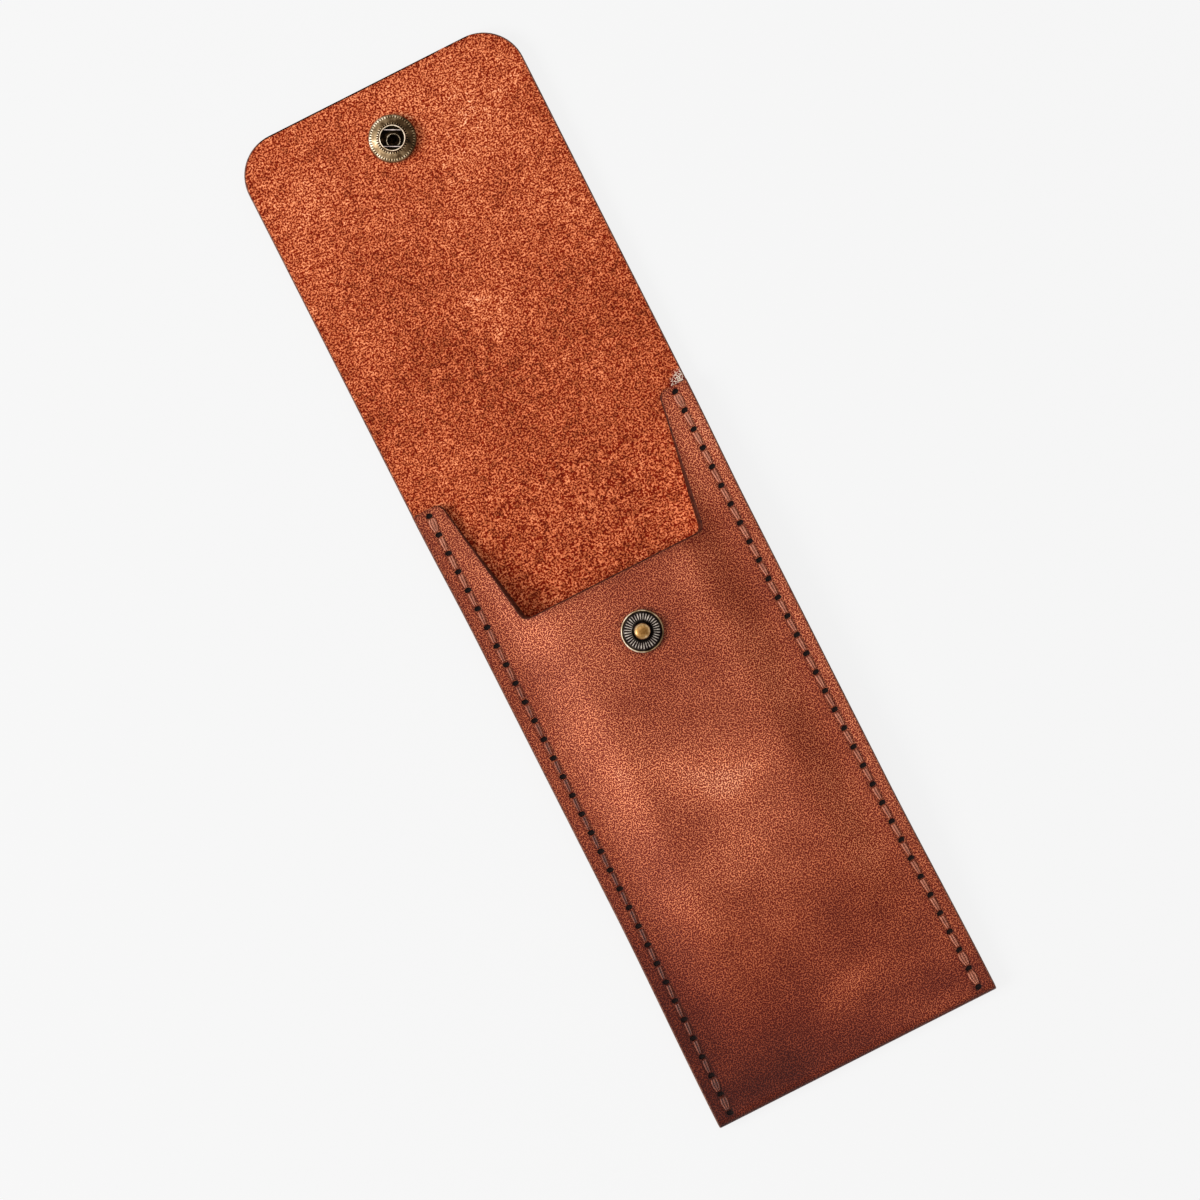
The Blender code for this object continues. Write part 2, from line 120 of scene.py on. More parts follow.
def across(x, y):
    spread = case["spread"] * (1 - ramp(y, creaseY, taperEndY)) - case["drawIn"] * openShare(y)
    return x * (case["halfWidth"] + spread) / case["halfWidth"]


def ripple(x, y):
    # soft leather is never quite flat; it dies out at the seams, the bottom crease and the snap
    swell = give["swell"] * softNoise(x, y, *give["swellNoise"])
    swell += give["dimple"] * softNoise(x, y, *give["dimpleNoise"])
    calm = ramp(fromStud(x, y), *give["calmRoundSnap"])
    calm *= ramp(y, creaseY, creaseY + give["calmAboveCrease"])
    return swell * calm * (1 - ramp(abs(x), *give["calmTowardsSeam"]))


def pucker(x, y):
    # each stitch pulls the leather down where it goes in
    along = 0.5 + 0.5 * math.cos(math.tau * (y - case["lastHoleY"]) / case["stitchPitch"])
    side = bell(abs(x) - case["seamX"], give["pullWide"])
    ends = ramp(y, case["lastHoleY"] - give["pullStarts"], case["lastHoleY"])
    ends *= 1 - ramp(y, case["topHoleY"], case["earTopY"])
    return give["pull"] * along ** 2 * side * ends + give["sag"] * side * ends


def frontTop(x, y):
    middle = middleUnderside(y) + case["glueLine"] + case["fullness"] * openShare(y)
    seam = seamUnderside(y) + case["glueLine"]
    snapSeat = give["snapSeat"] * bell(fromStud(x, y) - give["snapSeatAt"], give["snapSeatWide"])
    level = middle + (seam - middle) * sideShare(x) + 2 * case["leather"]
    return level + ripple(x, y) - pucker(x, y) - snapSeat


def backUnderside(x, y):
    middle = middleUnderside(y)
    return middle + (seamUnderside(y) - middle) * sideShare(x) + pucker(x, y)


# materials

def linear(colour):
    parts = [int(colour[i:i + 2], 16) / 255 for i in (1, 3, 5)]
    return (*[c / 12.92 if c <= 0.04045 else ((c + 0.055) / 1.055) ** 2.4 for c in parts], 1.0)


def newMaterial(name):
    material = bpy.data.materials.new(name)
    material.use_nodes = True
    tree = material.node_tree
    return material, tree, tree.nodes["Principled BSDF"]


def setRamp(elements, stops):
    while len(elements) < len(stops):
        elements.new(0.5)
    for element, (place, colour) in zip(elements, stops):
        element.position = place
        element.color = linear(colour)


def setNode(tree, node, settings=(), links=()):
    # settings go to a ramp's stops, the node's own properties, or its inputs by name or number;
    # a node as the source of a link stands for its first output
    for name, value in dict(settings).items():
        if name == "stops":
            setRamp(node.color_ramp.elements, value)
        elif isinstance(name, str) and hasattr(node, name):
            setattr(node, name, value)
        else:
            node.inputs[name].default_value = value
    for socket, source in dict(links).items():
        tree.links.new(source.outputs[0] if hasattr(source, "outputs") else source, node.inputs[socket])
    return node


def addNode(tree, kind, settings=(), links=()):
    return setNode(tree, tree.nodes.new("ShaderNode" + kind), settings, links)


plus = {"operation": "ADD"}


def fromTo(fromMin, fromMax, toMin=0.0, toMax=1.0):
    return {"From Min": fromMin, "From Max": fromMax, "To Min": toMin, "To Max": toMax}


def eitherWay(reach):
    # turns a soft noise into a shift of up to reach, up and down
    return fromTo(0.3, 0.7, -reach, reach)


def hideMarks(tree, look):
    # where a point of the hide lies, how much darker wear and painted shade make it, and its tone with soft
    # clouds in it; the tone holds painted light and shade besides the hide's own pale and dark places
    place = addNode(tree, "Attribute", {"attribute_name": "restPlace"}).outputs["Vector"]
    pull = addNode(tree, "Attribute", {"attribute_name": "pullUp"}).outputs["Fac"]
    toneShift = addNode(tree, "Attribute", {"attribute_name": "edgeShade"}).outputs["Fac"]
    soft = {"Scale": 1 / look["clouds"], "Detail": look["cloudDetail"], "Roughness": 0.6}
    clouds = addNode(tree, "TexNoise", soft, {"Vector": place})
    shift = addNode(tree, "MapRange", eitherWay(0.06), {"Value": clouds})
    return place, toneShift, addNode(tree, "Math", plus, {0: pull, 1: shift})


def fineTint(tree, look, colour, pattern, toneShift):
    # lays a fine light and dark pattern over a colour: hollows go deep red and tops go pale, as in dyed hide;
    # the filters' mean, times the level, leaves the colour as it is
    swing, level = look["contrast"], look["level"]
    fine = addNode(tree, "MapRange", fromTo(0.5 - swing, 0.5 + swing), {"Value": pattern})
    tint = addNode(tree, "ValToRGB", {"stops": look["filters"]}, {"Fac": fine})
    tinted = addNode(tree, "VectorMath", {"operation": "MULTIPLY"}, {0: colour, 1: tint})
    # darker where edge wear and painted shade mark the hide
    edged = addNode(tree, "MapRange", {"To Min": level, "To Max": level * look["darkenedTo"]}, {"Value": toneShift})
    return addNode(tree, "VectorMath", {"operation": "SCALE"}, {0: tinted, "Scale": edged})


def grainLeather():
    # vegetable tanned cowhide with a waxed finish: a fine grain of pale rubbed tops over a darker ground,
    # drawn out in short lines, and paler where the hide was bent and the wax moved, with painted light and
    # shade mixed into those pale and dark places and painted shade in the crease, round the holes and beside
    # the thread; real pores are too fine to show, so the grain is drawn about three times as coarse
    look = {
        "pebble": 0.33, "scatter": 0.85, "tops": (0.37, 0.56),
        "drawnOut": 1.15, "lines": (0.27, -0.75), "lineAreas": 22.0, "lineBorder": (0.47, 0.53),
        "clouds": 9.0, "cloudDetail": 3.0, "bump": 0.05, "dull": 0.58, "polished": 0.42,
        "shades": [(0, "#4B1206"), (0.25, "#722715"), (0.5, "#983F25"), (0.75, "#BD5A3A"), (1, "#E08260")],
        "filters": [(0, "#582214"), (1, "#B9E4EC")], "contrast": 0.5, "level": 4.0, "darkenedTo": 0.32,
    }
    material, tree, shader = newMaterial("waxedPullUpLeather")
    place, toneShift, shade = hideMarks(tree, look)
    areas = addNode(tree, "TexNoise", {"Scale": 1 / look["lineAreas"], "Detail": 1.0}, {"Vector": place})
    share = addNode(tree, "MapRange", fromTo(*look["lineBorder"]), {"Value": areas})
    cells = {"voronoi_dimensions": "2D", "Scale": 1 / look["pebble"], "Randomness": look["scatter"]}
    pebbles = []
    for turn in look["lines"]:
        line = {"vector_type": "TEXTURE", "Rotation": (0, 0, turn), "Scale": (1.0, look["drawnOut"], 1.0)}
        drawn = addNode(tree, "Mapping", line, {"Vector": place})
        pebbles.append(addNode(tree, "TexVoronoi", cells, {"Vector": drawn}))
    mixed = addNode(tree, "Mix", {}, {0: share, 2: pebbles[0], 3: pebbles[1]})
    pebble = addNode(tree, "MapRange", fromTo(*look["tops"]), {"Value": mixed})
    colour = addNode(tree, "ValToRGB", {"stops": look["shades"]}, {"Fac": shade})
    gloss = addNode(tree, "MapRange", fromTo(0.3, 0.7, look["dull"], look["polished"]), {"Value": pebble})
    bump = addNode(tree, "Bump", {"Strength": 0.6, "Distance": look["bump"] * mm}, {"Height": pebble})
    setNode(tree, shader, {"Specular IOR Level": 0.14},
            {"Base Color": fineTint(tree, look, colour, pebble, toneShift), "Roughness": gloss, "Normal": bump})
    return material


def fleshLeather():
    # the flesh side of the same hide, dyed through and left napped: short curled fibres with dark pits
    # between, laid in tufts, and scuffed pale in one place; single fibres are too fine to show, so they are
    # drawn in small locks
    look = {
        # size, detail, roughness and distortion of each
        "tufts": (2.0, 3.0, 0.6, 1.2), "nap": (0.42, 1.0, 0.5, 0.35), "pits": (0.8, 1.0, 0.5, 0.6),
        "tuftShift": 0.26, "pitBorder": (0.52, 0.64), "pitDark": 0.07, "clouds": 15.0, "cloudDetail": 4.0,
        "bump": 0.24, "bare": "#EAD8C4", "bareLocks": (0.44, 0.54),
        "shades": [(0, "#621B08"), (0.28, "#983A18"), (0.55, "#BF5229"), (0.8, "#DB6D3C"), (1, "#F38F5C")],
        "filters": [(0, "#562A0B"), (0.5, "#818181"), (1, "#A9D3FF")],
        "contrast": 0.07, "level": 4.54, "darkenedTo": 0.7,
    }
    material, tree, shader = newMaterial("nappedFleshSide")
    # the tone and the darkening here are the same as on the grain side, painted light and shade among them
    place, toneShift, shade = hideMarks(tree, look)
    frayed = addNode(tree, "Attribute", {"attribute_name": "frayed"}).outputs["Fac"]
    fields = []
    for size, detail, roughness, curl in (look["tufts"], look["nap"], look["pits"]):
        soft = {"Scale": 1 / size, "Detail": detail, "Roughness": roughness, "Distortion": curl}
        fields.append(addNode(tree, "TexNoise", soft, {"Vector": place}))
    tufts, nap, pits = fields
    tuftShift = addNode(tree, "MapRange", eitherWay(look["tuftShift"]), {"Value": tufts})
    tufted = addNode(tree, "Math", plus, {0: shade, 1: tuftShift})
    colour = addNode(tree, "ValToRGB", {"stops": look["shades"]}, {"Fac": tufted})
    pitShift = addNode(tree, "MapRange", fromTo(*look["pitBorder"], 0.0, -look["pitDark"]), {"Value": pits})
    fibres = addNode(tree, "Math", plus, {0: nap, 1: pitShift})
    finished = fineTint(tree, look, colour, fibres, toneShift)
    bare = addNode(tree, "MapRange", fromTo(*look["bareLocks"]), {"Value": fibres})
    scuff = addNode(tree, "Math", {"operation": "MULTIPLY"}, {0: frayed, 1: bare})
    scuffed = addNode(tree, "Mix", {"data_type": "RGBA", 7: linear(look["bare"])}, {0: scuff, 6: finished})
    bump = addNode(tree, "Bump", {"Strength": 0.7, "Distance": look["bump"] * mm}, {"Height": nap})
    matt = {"Roughness": 0.92, "Specular IOR Level": 0.1, "Sheen Weight": 0.05, "Sheen Roughness": 0.5}
    setNode(tree, shader, matt, {"Base Color": scuffed.outputs[2], "Normal": bump})
    return material


def cutEdge(name, stops):
    # cut edge rubbed smooth with an edge dressing: dark and even, and grey brown where it has worn
    look = {"layers": 0.9, "bump": 0.1}
    material, tree, shader = newMaterial(name)
    place = addNode(tree, "Attribute", {"attribute_name": "restPlace"}).outputs["Vector"]
    split = {"Scale": 1 / look["layers"], "Detail": 4.0, "Roughness": 0.6}
    layers = addNode(tree, "TexNoise", split, {"Vector": place})
    colour = addNode(tree, "ValToRGB", {"stops": stops}, {"Fac": layers})
    bump = addNode(tree, "Bump", {"Strength": 0.3, "Distance": look["bump"] * mm}, {"Height": layers})
    setNode(tree, shader, {"Roughness": 0.6, "Specular IOR Level": 0.1},
            {"Base Color": colour, "Normal": bump})
    return material


def punchedHole():
    # raw leather inside an awl hole or a punched hole, painted near black: painted shade in the hole
    look = {"blotches": 0.5}
    material, tree, shader = newMaterial("holeInShade")
    place = addNode(tree, "Attribute", {"attribute_name": "restPlace"}).outputs["Vector"]
    waxy = addNode(tree, "TexNoise", {"Scale": 1 / look["blotches"], "Detail": 2.0}, {"Vector": place})
    colour = addNode(tree, "ValToRGB", {"stops": [(0.35, "#140503"), (0.7, "#2C0F08")]}, {"Fac": waxy})
    setNode(tree, shader, {"Roughness": 0.8}, {"Base Color": colour})
    return material


def threadMaterial():
    # waxed polyester thread, flat braided: two plies side by side, with painted shade in the crevice between
    # the plies and paler towards their outer edges, and pale in patches where the wax is rubbed off
    look = {
        "twist": 0.55, "twistShade": 0.10, "fuzz": 0.35, "fuzzShade": 0.25, "bump": 0.12,
        "shades": [(0, "#45180D"), (0.3, "#833F28"), (0.65, "#BC6D50"), (1, "#EAA080")],
    }
    material, tree, shader = newMaterial("waxedThread")
    ply = addNode(tree, "Attribute", {"attribute_name": "plyPlace"}).outputs["Vector"]
    parts = addNode(tree, "SeparateXYZ", {}, {0: ply}).outputs
    slanted = addNode(tree, "Math", {"operation": "MULTIPLY_ADD", 1: 1 / look["twist"]},
                      {0: parts["X"], 2: parts["Y"]})
    turns = addNode(tree, "Math", {"operation": "MULTIPLY", 1: math.tau}, {0: slanted})
    wave = addNode(tree, "Math", {"operation": "SINE"}, {0: turns})
    lift = addNode(tree, "MapRange", {"From Min": -1.0}, {"Value": wave})
    fuzz = addNode(tree, "TexNoise", {"Scale": 1 / look["fuzz"], "Detail": 3.0}, {"Vector": ply})
    mixed = addNode(tree, "Math", {"operation": "MULTIPLY_ADD", 1: look["twistShade"]},
                    {0: lift, 2: parts["Z"]})
    toneShift = addNode(tree, "MapRange", eitherWay(look["fuzzShade"]), {"Value": fuzz})
    shade = addNode(tree, "Math", plus, {0: mixed, 1: toneShift})
    colour = addNode(tree, "ValToRGB", {"stops": look["shades"]}, {"Fac": shade})
    bump = addNode(tree, "Bump", {"Strength": 0.5, "Distance": look["bump"] * mm}, {"Height": lift})
    setNode(tree, shader, {"Roughness": 0.48}, {"Base Color": colour, "Normal": bump})
    return material


def brassMaterial(name, stops, roughness):
    # stamped brass with an antique finish: blackened in the hollows and rubbed bright on the high places,
    # with a painted lit side on the snap's rings and a painted highlight along the spring's crest
    look = {"stains": 2.2, "stainShade": 0.28, "duller": 0.2, "bump": 0.03}
    material, tree, shader = newMaterial(name)
    place = addNode(tree, "TexCoord").outputs["Object"]
    high = addNode(tree, "Attribute", {"attribute_name": "rubbed"}).outputs["Fac"]
    cloudy = {"Scale": 1 / (look["stains"] * mm), "Detail": 5.0, "Roughness": 0.65}
    stains = addNode(tree, "TexNoise", cloudy, {"Vector": place})
    shift = addNode(tree, "MapRange", eitherWay(look["stainShade"]), {"Value": stains})
    shade = addNode(tree, "Math", plus, {0: high, 1: shift})
    colour = addNode(tree, "ValToRGB", {"stops": stops}, {"Fac": shade})
    polish = addNode(tree, "MapRange", {"To Min": roughness + look["duller"], "To Max": roughness},
                     {"Value": shade})
    bump = addNode(tree, "Bump", {"Strength": 0.25, "Distance": look["bump"] * mm}, {"Height": stains})
    setNode(tree, shader, {"Metallic": 1.0}, {"Base Color": colour, "Roughness": polish, "Normal": bump})
    return material


grain, flesh, hole = grainLeather(), fleshLeather(), punchedHole()
rim = cutEdge("wornEdge", [(0.3, "#4E2E24"), (0.5, "#744C3E"), (0.7, "#966C5A")])
# painted shade: a darker copy of the same edge, for the edges round the mouth and the ears
shadedMouthRim = cutEdge("mouthEdgeShaded", [(0.3, "#2E110A"), (0.5, "#4A2015"), (0.7, "#683325")])
thread = threadMaterial()
antiqueBrass = brassMaterial(
    "antiqueBrass", [(0, "#120C08"), (0.35, "#4C3824"), (0.7, "#988060"), (1, "#EEE0C8")], 0.42)
wornBrass = brassMaterial(
    "wornBrass", [(0, "#2A1806"), (0.4, "#644420"), (0.7, "#9A7444"), (1, "#DCC090")], 0.34)
flutedBrass = brassMaterial(
    "blackenedFlutes", [(0, "#100B0A"), (0.35, "#3C342F"), (0.7, "#8C8178"), (1, "#CFC3B6")], 0.45)
springWire = brassMaterial("oiledSpringWire", [(0, "#120E0C"), (0.6, "#6C5E58"), (1, "#D0C0B8")], 0.28)
print("materials ready")


# leather

sheets = {
    "edgeRound": 0.34,  # of the cut edges, top and bottom
    "glueFrom": 0.5, "glueTo": 1.5, "glueEndsY": 32.0, "glueDraw": 0.85, "glueReach": 1.0,
    "awlWide": 0.86, "awlLong": 0.70, "awlDeep": 1.45, "awlTurn": 0.25, "awlSway": 0.1,
    "studHole": (10.0, 16.0, 1.05), "socketHole": (0.0, 8.0, 1.75),  # from, to, radius
    "rowStep": 1.25, "frontRows": 129, "backRows": 134, "creaseSteps": 14, "rowGap": 0.4, "afterCrease": 0.35,
    "mouthTurns": (14, 27, 41, 54, 68, 82), "earTurns": (0, 16, 32, 48, 65, 82), "earCells": 6,
    "bendStep": 0.5, "flapStep": 1.3, "tipTurn": 6, "tipRows": 16,
}
grainSide, fleshSide, cutSide, mouthSide = 0, 1, 2, 4  # places in a sheet's list of materials
leatherRims = []  # where cut edges run, for shading near them


def finishMesh(name, bm, materials):
    bmesh.ops.scale(bm, vec=(mm, mm, mm), verts=bm.verts)
    mesh = bpy.data.meshes.new(name)
    bm.to_mesh(mesh)
    bm.free()
    for material in materials:
        mesh.materials.append(material)
    obj = bpy.data.objects.new(name, mesh)
    scene.collection.objects.link(obj)
    return obj


def smoothUnder(obj, degrees):
    obj.data.shade_smooth()
    obj.data.set_sharp_from_angle(angle=math.radians(degrees))


def leatherSheet(name, columns, rows, place, gone, openRows):
    # a grid laid over the outer face, given its thickness inwards, with rounded cut edges;
    # place gives the point of a column and row, and gone is true for faces that the mouth cuts away
    bm = bmesh.new()
    bmesh.ops.create_grid(bm, x_segments=columns, y_segments=rows, size=0.5)
    gridAt = {v: (round((v.co.x + 0.5) * columns), round((v.co.y + 0.5) * rows)) for v in bm.verts}
    middles = {face: face.calc_center_median() for face in bm.faces}
    cut = [face for face, at in middles.items() if gone((at.x + 0.5) * columns, (at.y + 0.5) * rows)]
    for v, (column, row) in gridAt.items():
        v.co = place(column, row)
    endRows = {v for v, (column, row) in gridAt.items() if row in openRows}
    bmesh.ops.delete(bm, geom=cut, context="FACES")
    bmesh.ops.recalc_face_normals(bm, faces=bm.faces)
    probe = min(bm.faces, key=lambda f: f.calc_center_median().z)
    if probe.normal.z > 0:  # the lowest face of every sheet is grain side down
        bmesh.ops.reverse_faces(bm, faces=bm.faces)
    outer = set(bm.verts)
    endRows = {v for v in endRows if v.is_valid}
    made = bmesh.ops.solidify(bm, geom=bm.faces[:], thickness=case["leather"])
    inner = {e for e in made["geom"] if isinstance(e, bmesh.types.BMVert)}
    sides, caps = [], []
    for face in bm.faces:
        low = [v for v in face.verts if v in outer]
        if len(low) == len(face.verts):
            face.material_index = grainSide
        elif not low:
            face.material_index = fleshSide
        else:
            face.material_index = cutSide
            (caps if all(v in endRows for v in low) else sides).append(face)
    closeSeam(inner)
    sideSet, capSet = set(sides), set(caps)
    edges = [e for f in sides for e in f.edges
             if any(g not in sideSet and g not in capSet for g in e.link_faces)]
    rounded = bmesh.ops.bevel(bm, geom=list(set(edges)), affect="EDGES", offset=sheets["edgeRound"],
                              offset_type="OFFSET", segments=3, profile=0.5, material=-1, clamp_overlap=False)
    for face in rounded["faces"]:
        face.material_index = cutSide
    for face in bm.faces:
        if face.material_index == cutSide and face not in capSet:
            leatherRims.extend(v.co.copy() for v in face.verts)
    return finishMesh(name, bm, [grain, flesh, rim, hole, shadedMouthRim])


def closeSeam(inner):
    # front and back are glued along the seams: their inner faces all but touch there
    glueStart, glueEnd = case["band"] - sheets["glueFrom"], case["band"] + sheets["glueTo"]
    for v in inner:
        x, y, z = v.co
        if y > case["earTopY"] or y < creaseY:
            continue
        share = ramp(abs(x), glueStart, glueEnd) * (1 - ramp(y, sheets["glueEndsY"], case["earTopY"]))
        middle = seamUnderside(y) + case["leather"] + case["glueLine"] / 2
        gap = (z - middle) * (1 - sheets["glueDraw"] * share)
        v.co.z = middle + gap if abs(z - middle) < sheets["glueReach"] else z


def earEdge(y):
    # x of the ear's inner edge, with its rounded corners at the mouth and at the top
    lean = (case["earBase"] - case["earTop"]) / (case["earTopY"] - case["mouthY"])
    long = math.hypot(1, lean)
    turn = math.radians(90) - math.atan(lean)
    reach = math.tan(turn / 2)
    foot, top = case["mouthCorner"] * reach, case["earCorner"] * reach
    if y < case["mouthY"] + foot / long:
        radius = case["mouthCorner"]
        centreX = case["halfWidth"] - case["earBase"] - foot
        return centreX + math.sqrt(max(radius ** 2 - (case["mouthY"] + radius - y) ** 2, 0))
    if y > case["earTopY"] - top / long:
        radius = case["earCorner"]
        centreX = case["halfWidth"] - case["earTop"] + top
        return centreX - math.sqrt(max(radius ** 2 - (y - case["earTopY"] + radius) ** 2, 0))
    return case["halfWidth"] - case["earBase"] + lean * (y - case["mouthY"])


# x of the columns from the middle to the ear, and along the seam; the ear's own cells lie between them
flatColumns = [*range(0, 22, 2), earEdge(case["mouthY"])]
earCellsEnd = 31.7
seamColumns = [32.15, 32.4, 32.7, 33.0, 33.3, 33.6, 33.85, 34.3, 35.2, 36.1, case["halfWidth"]]
lipColumn = len(flatColumns) - 1
halfColumns = lipColumn + sheets["earCells"] + len(seamColumns)


def columnX(column, inward):
    # inward is where the ear's inner edge runs at this row
    index = abs(column - halfColumns)
    cells = sheets["earCells"]
    if index < lipColumn:
        x = flatColumns[index]
    elif index <= lipColumn + cells:
        x = inward + (earCellsEnd - inward) * (index - lipColumn) / cells
    else:
        x = seamColumns[index - lipColumn - cells - 1]
    return x if column > halfColumns else -x


def evenRows(count):
    return [case["lastHoleY"] + sheets["rowStep"] * i for i in range(count)]


def frontRows():
    # y of the rows down the front: closer together round the two corners of each ear
    mouth, top = case["mouthY"], case["earTopY"]
    low = [mouth + case["mouthCorner"] * (1 - math.cos(math.radians(a))) for a in sheets["mouthTurns"]]
    high = [top - case["earCorner"] * (1 - math.cos(math.radians(a))) for a in sheets["earTurns"]]
    rows = [y for y in evenRows(sheets["frontRows"])
            if not mouth - 0.1 < y < low[-1] + 0.3 and y < high[0] + 0.1]
    return sorted(rows + low + high + [mouth, creaseY], reverse=True)


def pouchSkin():
    # front, bottom crease and back in one skin
    front, steps = frontRows(), sheets["creaseSteps"]
    backEnd = hingeY[0] - foldPitch / 2
    back = [creaseY + sheets["afterCrease"]] + evenRows(sheets["backRows"])[1:]
    back = [y for y in back if y < backEnd - sheets["rowGap"]] + [backEnd]
    path = [("front", y) for y in front]
    path += [("crease", math.pi * i / steps) for i in range(1, steps + 1)]
    path += [("back", y) for y in back]
    mouthRow = front.index(case["mouthY"])

    def place(column, row):
        part, value = path[row]
        if part == "front":
            x = columnX(column, earEdge(max(value, case["mouthY"])))
            return across(x, value), value, frontTop(x, value)
        x = columnX(column, flatColumns[-1])
        if part == "back":
            return across(x, value), value, backUnderside(x, value)
        y = creaseY - case["creaseRadius"] * math.sin(value)
        z = case["creaseLift"] + case["creaseRadius"] * (1 + math.cos(value))
        return across(x, y), y, z

    def gone(column, row):
        return row < mouthRow and abs(column - halfColumns) < lipColumn

    return leatherSheet("pouchSkin", 2 * halfColumns, len(path) - 1, place, gone, {len(path) - 1})


def flatSheet(name, low, high, step, tip):
    # a length of the open strip; at the tip its rows narrow round the two corners
    count = round((high - low) / step)
    rows = [low + (high - low) * i / count for i in range(count + 1)]
    radius = case["flapCorner"]
    if tip:
        turns = [math.radians(sheets["tipTurn"] * i) for i in range(sheets["tipRows"])]
        rows = [y for y in rows if y < high - radius - sheets["rowGap"]]
        rows += [high - radius + radius * math.sin(turn) for turn in turns]

    def place(column, row):
        y = rows[row]
        x = columnX(column, flatColumns[-1])
        turned = max(y - high + radius, 0) if tip else 0
        width = case["halfWidth"] - radius + math.sqrt(max(radius ** 2 - turned ** 2, 0))
        return x * width / case["halfWidth"], y, backUnderside(x, y)

    openRows = {0} if tip else {0, len(rows) - 1}
    return leatherSheet(name, 2 * halfColumns, len(rows) - 1, place, lambda column, row: False, openRows)


def stitchHoles():
    # y of the holes of a seam, from the bottom crease up
    return [case["lastHoleY"] + case["stitchPitch"] * i for i in range(case["stitches"] + 1)]


def cutAway(obj, bm):
    # takes a cutter's shape out of a sheet; the cut walls keep the cutter's material
    cutter = finishMesh("cutter", bm, [hole])
    modifier = obj.modifiers.new("cut", "BOOLEAN")
    modifier.operation = "DIFFERENCE"
    modifier.object = cutter
    modifier.material_mode = "TRANSFER"
    evaluated = obj.evaluated_get(bpy.context.evaluated_depsgraph_get())
    old = obj.data
    obj.data = bpy.data.meshes.new_from_object(evaluated)
    obj.modifiers.clear()
    bpy.data.meshes.remove(old)
    bpy.data.objects.remove(cutter)
    bm = bmesh.new()
    bm.from_mesh(obj.data)
    bmesh.ops.dissolve_degenerate(bm, dist=0.002 * mm, edges=bm.edges)  # slivers that the cut leaves
    bm.to_mesh(obj.data)
    bm.free()


def punchHole(obj, y, low, high, radius):
    bm = bmesh.new()
    made = bmesh.ops.create_cone(bm, cap_ends=True, segments=40, radius1=radius, radius2=radius,
                                 depth=high - low)
    bmesh.ops.translate(bm, vec=(0, y, (low + high) / 2), verts=made["verts"])
    cutAway(obj, bm)


def awlMarks(obj):
    # blind recesses from both faces, so that the thread goes into the dark
    size = (sheets["awlWide"], sheets["awlLong"], 2 * sheets["awlDeep"])
    bm = bmesh.new()
    for side in (-1, 1):
        for index, y in enumerate(stitchHoles()):
            x = side * case["seamX"]
            turn = Matrix.Rotation(sheets["awlTurn"] * side + sheets["awlSway"] * (index % 3), 3, "Z")
            for level in (frontTop(x, y), backUnderside(x, y)):
                verts = bmesh.ops.create_cone(bm, cap_ends=True, segments=10, radius1=1.0, radius2=1.0,
                                              depth=1.0)["verts"]
                bmesh.ops.scale(bm, vec=size, verts=verts)
                bmesh.ops.rotate(bm, verts=verts, matrix=turn)
                bmesh.ops.translate(bm, vec=(across(x, y), y, level), verts=verts)
    cutAway(obj, bm)


# pale and dark places in the hide, as x, y, reach across, reach along, turn in degrees, amount; partly the
# hide's own uneven tone and partly painted light and shade: a brighter left slope on the front, darker
# towards the bottom crease, and a faint painted shaded band across the flap
frontPatches = [
    (-21, -36, 9, 26, 0, 0.22), (4, -39, 16, 11, 0, 0.09), (-5, -53, 8, 7, 0, 0.3), (7, -57, 9, 5, 12, 0.3),
    (22, -32, 11, 4, 49, 0.1), (24, -52, 7, 10, 0, 0.1), (-19, -82, 11, 4, -57, 0.14),
    (18, -87, 12, 6, 20, 0.06), (3, -86, 14, 5, 47, 0.1), (8, -113, 8, 3, 17, 0.2),
    (-20, -121, 14, 7, 0, -0.1), (14, -123, 14, 5, 0, 0.14), (0, -70, 13, 8, 30, 0.24),
    (-18, -6, 14, 6, 0, 0.22), (18, -7, 12, 6, 0, 0.2), (-10, -18, 8, 8, 0, 0.12),
    (-20, -50, 8, 10, 0, 0.12), (-6, -122, 60, 18, 0, -0.22), (0, -130, 60, 9, 0, -0.12),
    (15, -21, 7, 9, 0, 0.13), (24, -42, 6, 6, 0, 0.16), (24, -89, 6, 9, 0, 0.18),
    (-35, -102, 6, 26, 0, -0.22), (-37, -126, 5, 6, 0, -0.18), (-35.6, 8, 2.2, 40, 0, -0.04),
    (30, 22, 7, 13, 0, 0.22), (-8, -46, 8, 5, 0, 0.12), (3, -49, 6, 4, 0, 0.1), (25, -72, 6, 9, 0, 0.16),
    (0, -78, 5, 5, 0, 0.1), (-36.5, -85, 4, 25, 0, -0.12), (8, -115, 22, 5, 0, 0.12),
    (-29, 27, 8, 10, 0, 0.2), (-25, 8, 7, 10, 0, 0.2), (-35.4, 18, 2.2, 14, 0, -0.05),
    (27, 10, 2.5, 5, 0, 0.12), (35.6, -45, 2.4, 45, 0, 0.22), (35.6, -100, 2.4, 20, 0, 0.04),
    (20, -26, 5, 5, 0, 0.08), (-30, -108, 6, 8, 0, -0.15), (-24, -126, 8, 5, 0, -0.12),
    (35.6, 16, 2.4, 22, 0, 0.18), (-26, -94, 5, 11, 0, -0.1), (13, -95, 9, 8, 0, -0.1),
    (3, -85, 6, 5, 0, -0.06), (-14, -114, 7, 5, 0, -0.1), (-13, -54, 5, 6, 0, -0.08),
    (19, -121, 10, 4, 0, -0.09), (-6, -126, 8, 4, 0, -0.05), (24, -34, 5, 9, 0, 0.07),
    (23, -128, 8, 2.5, 0, 0.16),
]
